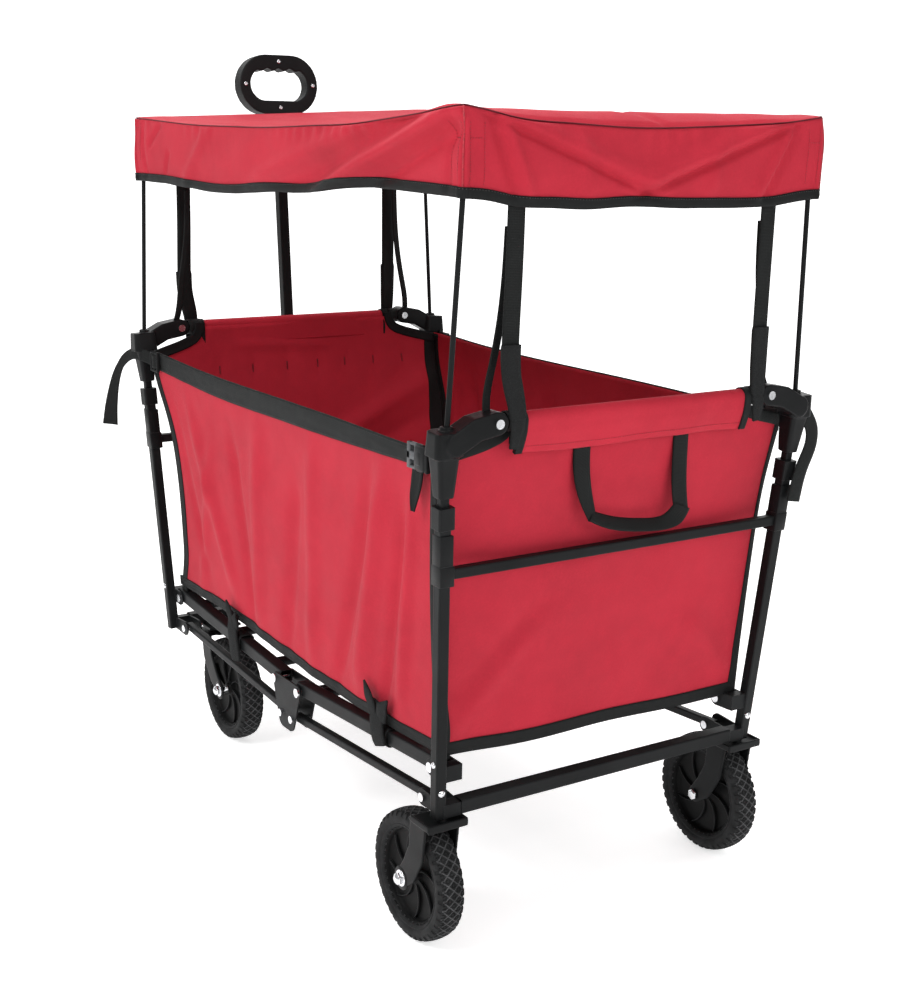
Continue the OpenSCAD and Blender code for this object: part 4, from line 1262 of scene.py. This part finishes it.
def tyre_mesh():
    """A tyre at the origin, axle along Y, with a net of ridges, blocks and shoulder lugs."""
    prof = [(-0.015, 0.066), (-0.0168, 0.0672), (-0.0182, 0.069), (-0.0184, 0.0702), (-0.0178, 0.0712),
            (-0.0182, 0.0724), (-0.0192, 0.074), (-0.0198, 0.0765), (-0.0199, 0.079), (-0.0196, 0.0815),
            (-0.0192, 0.083), (-0.019, 0.0838), (-0.0185, 0.085), (-0.0176, 0.0866), (-0.0166, 0.0876)]
    tread = [(w, 0.0898 - 9.0 * (w * w)) for w in np.linspace(-0.0155, 0.0155, 39)]
    cols = prof + tread + [(-w, r) for w, r in reversed(prof)]
    w, r = np.array([c[0] for c in cols]), np.array([c[1] for c in cols])
    n = 880
    a = np.arange(n) * TAU / n
    u = a[:, None] * TREAD_N / TAU
    v = w[None, :] / TREAD_PITCH
    p, q = u + v, u - v
    fp, fq = np.abs(p - np.round(p)), np.abs(q - np.round(q))
    on_tread = np.abs(w)[None, :] < 0.0158
    ridge = np.minimum(fp, fq) < 0.105
    pc, qc = (np.floor(p) + 0.5), (np.floor(q) + 0.5)
    uc, vc = (pc + qc) / 2, (pc - qc) / 2
    du, dv = np.abs(u - uc), np.abs(v - vc)
    m = np.maximum(du, dv)
    height = np.where(ridge, 0.0006, 0.0) + np.where(m < 0.225, -0.0012, 0.0) + np.where(m < 0.1, 0.0012, 0.0)
    lug = np.abs(u % 1 - 0.5)
    edge = (np.abs(w)[None, :] > 0.0158) & (r[None, :] > 0.0825)
    height = np.where(on_tread, height, 0) + np.where(edge & (lug > 0.3), -0.003, 0)
    height = height + np.where((np.abs(w)[None, :] > 0.0125) & on_tread & (lug > 0.34), -0.0022, 0)
    rr = r[None, :] + height
    verts = np.stack([rr * np.cos(a)[:, None], np.broadcast_to(w[None, :], rr.shape), rr * np.sin(a)[:, None]], 2)
    c = len(cols)
    i, j = np.meshgrid(np.arange(n), np.arange(c), indexing="ij")
    i, j = i.ravel(), j.ravel()
    ii, jj = (i + 1) % n, (j + 1) % c
    faces = np.stack([i * c + j, i * c + jj, ii * c + jj, ii * c + j], 1)
    mesh = bpy.data.meshes.new("tyre")
    mesh.from_pydata(verts.reshape(-1, 3).tolist(), [], faces.tolist())
    # the raised ridge faces take the lighter rubber: a painted highlight along the ridges
    light = (ridge & on_tread)[i, j] & (ridge & on_tread)[i, jj]
    mesh.materials.append(TYRE)
    mesh.materials.append(TYRE_RIDGE_HIGHLIGHT)
    mesh.polygons.foreach_set("material_index", light.astype(int))
    mesh.polygons.foreach_set("use_smooth", [False] * len(faces))
    mesh.update()
    return mesh


def hub_parts(name):
    """A closed moulded disc with curved ribs on its outer face, at the origin, axle along Y."""
    disc = [(0.0001, 0.012), (0.009, 0.012), (0.01, 0.0112), (0.0102, 0.008), (0.015, 0.0072), (0.0175, 0.0062),
            (0.03, 0.0048), (0.056, 0.0054), (0.061, 0.0066), (0.0622, 0.0098), (0.0632, 0.0128), (0.065, 0.0146),
            (0.0676, 0.015), (0.0684, 0.014), (0.0684, -0.014), (0.0676, -0.015), (0.065, -0.0146),
            (0.0632, -0.0128), (0.0622, -0.0098), (0.061, -0.0066), (0.03, -0.0048), (0.0175, -0.0062),
            (0.0102, -0.008), (0.01, -0.0112), (0.009, -0.012), (0.0001, -0.012)]
    parts = [lathe("disc", disc, (0, 0, 0), (0, 1, 0), HUB_PLASTIC, 96)]
    for face in (1, -1):
        for k in range(8):
            pts = []
            for t in np.linspace(0, 1, 14):
                r = 0.0135 + t * 0.049
                a = k * math.pi / 4 + 0.55 * t**1.3
                pts.append((r * math.cos(a), face * (0.0062 + 0.001 * t), r * math.sin(a)))
            parts.append(strap("rib", pts, (0, 1, 0), 0.005, RIB_PLASTIC, thick=0.0013, cols=3))
    return join(name, parts)


def bolt_parts(name, h):
    """An axle bolt at the origin with its washer, head and nut; h is half its grip length."""
    washer = [(0.0001, h), (0.011, h), (0.0115, h + 0.0005), (0.0115, h + 0.0015), (0.0108, h + 0.002),
              (0.0001, h + 0.002)]
    head = [(0.0001, h + 0.002), (0.0082, h + 0.002), (0.0086, h + 0.0026), (0.0086, h + 0.0062),
            (0.0078, h + 0.0074)]
    dome = [(0.0078, h + 0.007), (0.0066, h + 0.0082), (0.0045, h + 0.0096), (0.002, h + 0.0103),
            (0.0001, h + 0.0104)]
    shaft = [(0.0001, -h), (0.004, -h), (0.004, h + 0.001), (0.0001, h + 0.001)]
    nut = [(0.0001, -h - 0.006), (0.008, -h - 0.006), (0.0086, -h - 0.005), (0.0086, -h), (0.0001, -h)]
    flats = 0.0076
    return join(name, [lathe("part", profile, (0, 0, 0), (0, 1, 0), CHROME, n, hexagon)
                       for profile, n, hexagon in ((washer, 40, 0), (head, 48, flats), (dome, 40, 0),
                                                   (shaft, 24, 0), (nut, 48, flats))])


BOSS = [(0.0001, 0.0276), (0.016, 0.0276), (0.0165, 0.027), (0.0165, 0.0262), (0.0001, 0.0262)]
TYRE_MESH = tyre_mesh()
HUB = hub_parts("hub_master")
BOLT = bolt_parts("bolt_master", 0.0272)
for end in ("rear", "front"):
    for side in ("left", "right"):
        low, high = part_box(f"{end}_tyre_{side}")
        centre = (low + high) / 2
        sy = 1 if centre.y > 0 else -1
        wheel = f"{end}_wheel_{side}"
        if end == "rear":
            sx, holder, fork_node, axle_node = -1, "rear_frame", f"rear_fork_{side}", "rear_axles"
        else:
            sx, holder, fork_node, axle_node = 1, f"caster_{side}", f"caster_fork_{side}", f"caster_axle_{side}"
        for kind, mesh in (("tyre", TYRE_MESH), ("hub", HUB.data)):
            obj = bpy.data.objects.new(f"{end}_{kind}_{side}_moulding", mesh)
            scene.collection.objects.link(obj)
            obj.location = centre
            obj.rotation_euler = (0, 0.35 * len(side) + 0.2 * len(end), 0)
            place(obj, wheel, "tyre" if kind == "tyre" else "black_plastic", f"{end}_{kind}_{side}")
        axle = BOLT.copy()
        axle.data = BOLT.data.copy()
        axle.name = f"{end}_axle_{side}_bolt"
        scene.collection.objects.link(axle)
        axle.location = centre
        axle.rotation_euler = (0, 0.25, 0 if sy > 0 else math.pi)
        place(axle, holder, "rivet_chrome", axle_node)
        boss = lathe(f"{end}_boss_{side}", BOSS, centre, (0, sy, 0), PLASTIC, 48)
        place(boss, holder, "black_plastic")
        flo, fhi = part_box(fork_node)
        edge_x = (flo.x if sx < 0 else fhi.x) - sx * 0.0012
        near, far = sorted((edge_x, edge_x - sx * 0.046))
        lips = [lump("lip", (edge_x - 0.0016, flo.y + 0.0005, fhi.z - 0.012),
                     (edge_x + 0.0016, fhi.y - 0.0005, fhi.z - 0.0003), 0.001)]
        lips += [lump("lip", (near, y - 0.0014, fhi.z - 0.01), (far, y + 0.0014, fhi.z - 0.0005), 0.001)
                 for y in (flo.y + 0.0016, fhi.y - 0.0016)]
        fork = moulded(f"{fork_node}_stamping", [from_node(fork_node)] + lips, 0.0013, 3, STEEL)
        place(fork, holder, "frame_steel", fork_node)
for master in (HUB, BOLT):
    bpy.data.objects.remove(master)

# ---- corner brackets, grip -----------------------------------------------------------------

for end in ("rear", "front"):
    for side in ("left", "right"):
        node = f"{end}_bracket_{side}"
        body = moulded(f"{node}_moulding", [from_node(node)], 0.0012, 2, PLASTIC)
        place(body, f"{end}_frame", "black_plastic", node)

along = Vector((math.sin(HANDLE_LEAN), 0, math.cos(HANDLE_LEAN)))
grip = moulded("grip_moulding", [from_node("handle_grip")], 0.0014, 6, GRIP_PLASTIC)
for v in grip.data.vertices:
    s = (v.co - HANDLE_PIVOT).dot(along)
    if GRIP_S + 0.012 < s < GRIP_S + 0.034 and abs(v.co.y) < 0.043:
        v.co -= along * 0.0042 * (0.5 - 0.5 * math.cos(TAU * v.co.y / 0.0215)) * bell(s - GRIP_S - 0.0265, 0.008)
place(grip, "handle_upper", "black_plastic", "handle_grip")
screws = []
screw = [(0.0033, -0.0004), (0.0033, 0.0007), (0.0028, 0.0011), (0.0008, 0.0012), (0.0006, 0.0005), (0.0001, 0.0005)]
across_n = Vector((math.cos(HANDLE_LEAN), 0, -math.sin(HANDLE_LEAN)))
for y, ds in ((0, 0.0395), (0.0655, 0), (-0.0655, 0), (0, -0.0395)):
    at = HANDLE_PIVOT + along * (GRIP_S + ds) + across_n * -0.0139 + Vector((0, y, 0))
    screws.append(lathe("screw", screw, at, -across_n, CHROME, 24))
place(join("grip_screws", screws), "handle_upper", "rivet_chrome")

# ---- brackets of the middle bars, and the posts' rivets -----------------------------------------

for end, sx in ENDS:
    blocks = []
    for sy in (1, -1):
        for z0, z1, out in ((0.526, 0.586, 0.0022), (0.519, 0.546, 0.0034)):
            c = post_at((z0 + z1) / 2, sx, sy)
            block = lump("block", (c[0] - POST_HALF - out, c[1] - POST_HALF - out, z0),
                         (c[0] + POST_HALF + out, c[1] + POST_HALF + out * 0.3, z1), 0.0012)
            for v in block.data.vertices:
                v.co.x += sx * (v.co.z - c[2]) * LEAN_X
                v.co.y += sy * (v.co.z - c[2]) * LEAN_Y
                if sy < 0:
                    v.co.y = 2 * float(post_at(v.co.z, sx, sy)[1]) - v.co.y
            if sy < 0:
                block.data.flip_normals()
            block.data.materials.append(PLASTIC)
            blocks.append(block)
    place(join(f"{end}_mid_bar_brackets", blocks), f"{end}_frame", "black_plastic")
side_rivet = [(0.0045, -0.0006), (0.0045, 0.0006), (0.0045 * 0.8, 0.0016), (0.0045 * 0.4, 0.0022), (0.0001, 0.0023)]
end_rivet = [(0.005, -0.0006), (0.005, 0.001), (0.004, 0.0022), (0.0001, 0.003)]
for end, sx in ENDS:
    dots = []
    for sy in (1, -1):
        c = post_at(0.273, sx, sy) + np.array([0, sy * POST_HALF, 0])
        dots.append(lathe("dot", side_rivet, c, (0, sy, 0), CHROME, 24))
        c = post_at(0.233, sx, sy) + np.array([sx * POST_HALF, 0, 0])
        dots.append(lathe("dot", end_rivet, c, (sx, 0, 0), CHROME, 24))
    place(join(f"{end}_post_rivets", dots), f"{end}_frame", "rivet_chrome")

# ---- floor, light, camera -----------------------------------------------------------------------


def make_floor():
    """The white ground, which glows a little so that it reads as a studio sweep."""
    p = Paint("studio_floor", (0.9, 0.9, 0.9), 0.65, Specular_IOR_Level=0.1, Emission_Strength=0.62)
    p.bsdf.inputs["Emission Color"].default_value = (1, 1, 1, 1)
    p.colour(p.ramp(p.noise(1.5, 3), [(0.3, (0.89, 0.89, 0.89)), (0.7, (0.92, 0.92, 0.92))]))
    p.rough(p.noise(4, 3), 0.55, 0.75)
    p.bump(p.noise(90, 3), 0.02, 0.001)
    return p.mat


FLOOR_R, FLOOR_Z = 4.2, -0.0004
disc = [(0.0, 0.0, FLOOR_Z)] + [(FLOOR_R * math.cos(a), FLOOR_R * math.sin(a), FLOOR_Z)
                                for a in np.linspace(0, TAU, 97)[:-1]]
floor = build("studio_floor", disc, [(0, 1 + i, 1 + (i + 1) % 96) for i in range(96)], make_floor(), smooth=False)


def make_backdrop():
    p = Paint("studio_backdrop", (0.9, 0.9, 0.9), 0.8, Emission_Strength=1.0)
    glow = p.ramp(p.noise(0.4, 2), [(0.3, (0.985, 0.985, 0.985)), (0.7, (1.0, 1.0, 1.0))])
    p.feed(p.bsdf.inputs["Emission Color"], glow)
    return p.mat


CAM_AT, CAM_LOOK = Vector((-1.9738, 1.238, 1.0687)), Vector((0.8126, -0.5313, -0.2395))
CAM_RIGHT, CAM_UP = Vector((-0.5432, -0.8394, 0.0189)), Vector((0.2111, -0.1147, 0.9707))
BACKDROP_AT, BACKDROP_HALF, BACKDROP_LOW, BACKDROP_HIGH = 7.5, 11, -6, 9
look = Vector((CAM_LOOK.x, CAM_LOOK.y, 0)).normalized()
wide = Vector((-look.y, look.x, 0))
corners = [look * BACKDROP_AT + wide * sgn * BACKDROP_HALF + Vector((0, 0, z))
           for sgn, z in ((-1, BACKDROP_LOW), (1, BACKDROP_LOW), (1, BACKDROP_HIGH), (-1, BACKDROP_HIGH))]
backdrop = build("studio_backdrop", corners, [(0, 1, 2, 3)], make_backdrop(), smooth=False)

world = bpy.data.worlds.new("studio")
scene.world = world
world.use_nodes = True
bg = world.node_tree.nodes.get("Background") or world.node_tree.nodes.new("ShaderNodeBackground")
bg.inputs["Color"].default_value = (1.0, 1.0, 1.0, 1)
bg.inputs["Strength"].default_value = 0.5
out = world.node_tree.nodes.get("World Output") or world.node_tree.nodes.new("ShaderNodeOutputWorld")
world.node_tree.links.new(bg.outputs[0], out.inputs[0])


def lamp(name, at, target, size, power):
    """A square lamp that faces the target."""
    data = bpy.data.lights.new(name, "AREA")
    data.shape, data.size, data.energy = "SQUARE", size, power
    obj = bpy.data.objects.new(name, data)
    scene.collection.objects.link(obj)
    obj.location = at
    obj.rotation_euler = (Vector(target) - Vector(at)).to_track_quat("-Z", "Y").to_euler()


lamp("key", (-0.6, 2.8, 2.9), (0, 0, 0.5), 1.2, 62)
lamp("fill", (-3.4, -0.4, 1.9), (0, 0, 0.5), 1.8, 30)
lamp("top", (0.4, 0.0, 3.8), (0, 0, 0.4), 2.2, 66)

cam_data = bpy.data.cameras.new("camera")
cam_data.sensor_width, cam_data.lens = 36, 54.56
cam = bpy.data.objects.new("camera", cam_data)
scene.collection.objects.link(cam)
cam.matrix_world = Matrix.Translation(CAM_AT) @ Matrix((CAM_RIGHT, CAM_UP, -CAM_LOOK)).transposed().to_4x4()
scene.camera = cam
scene.view_settings.view_transform = "Standard"
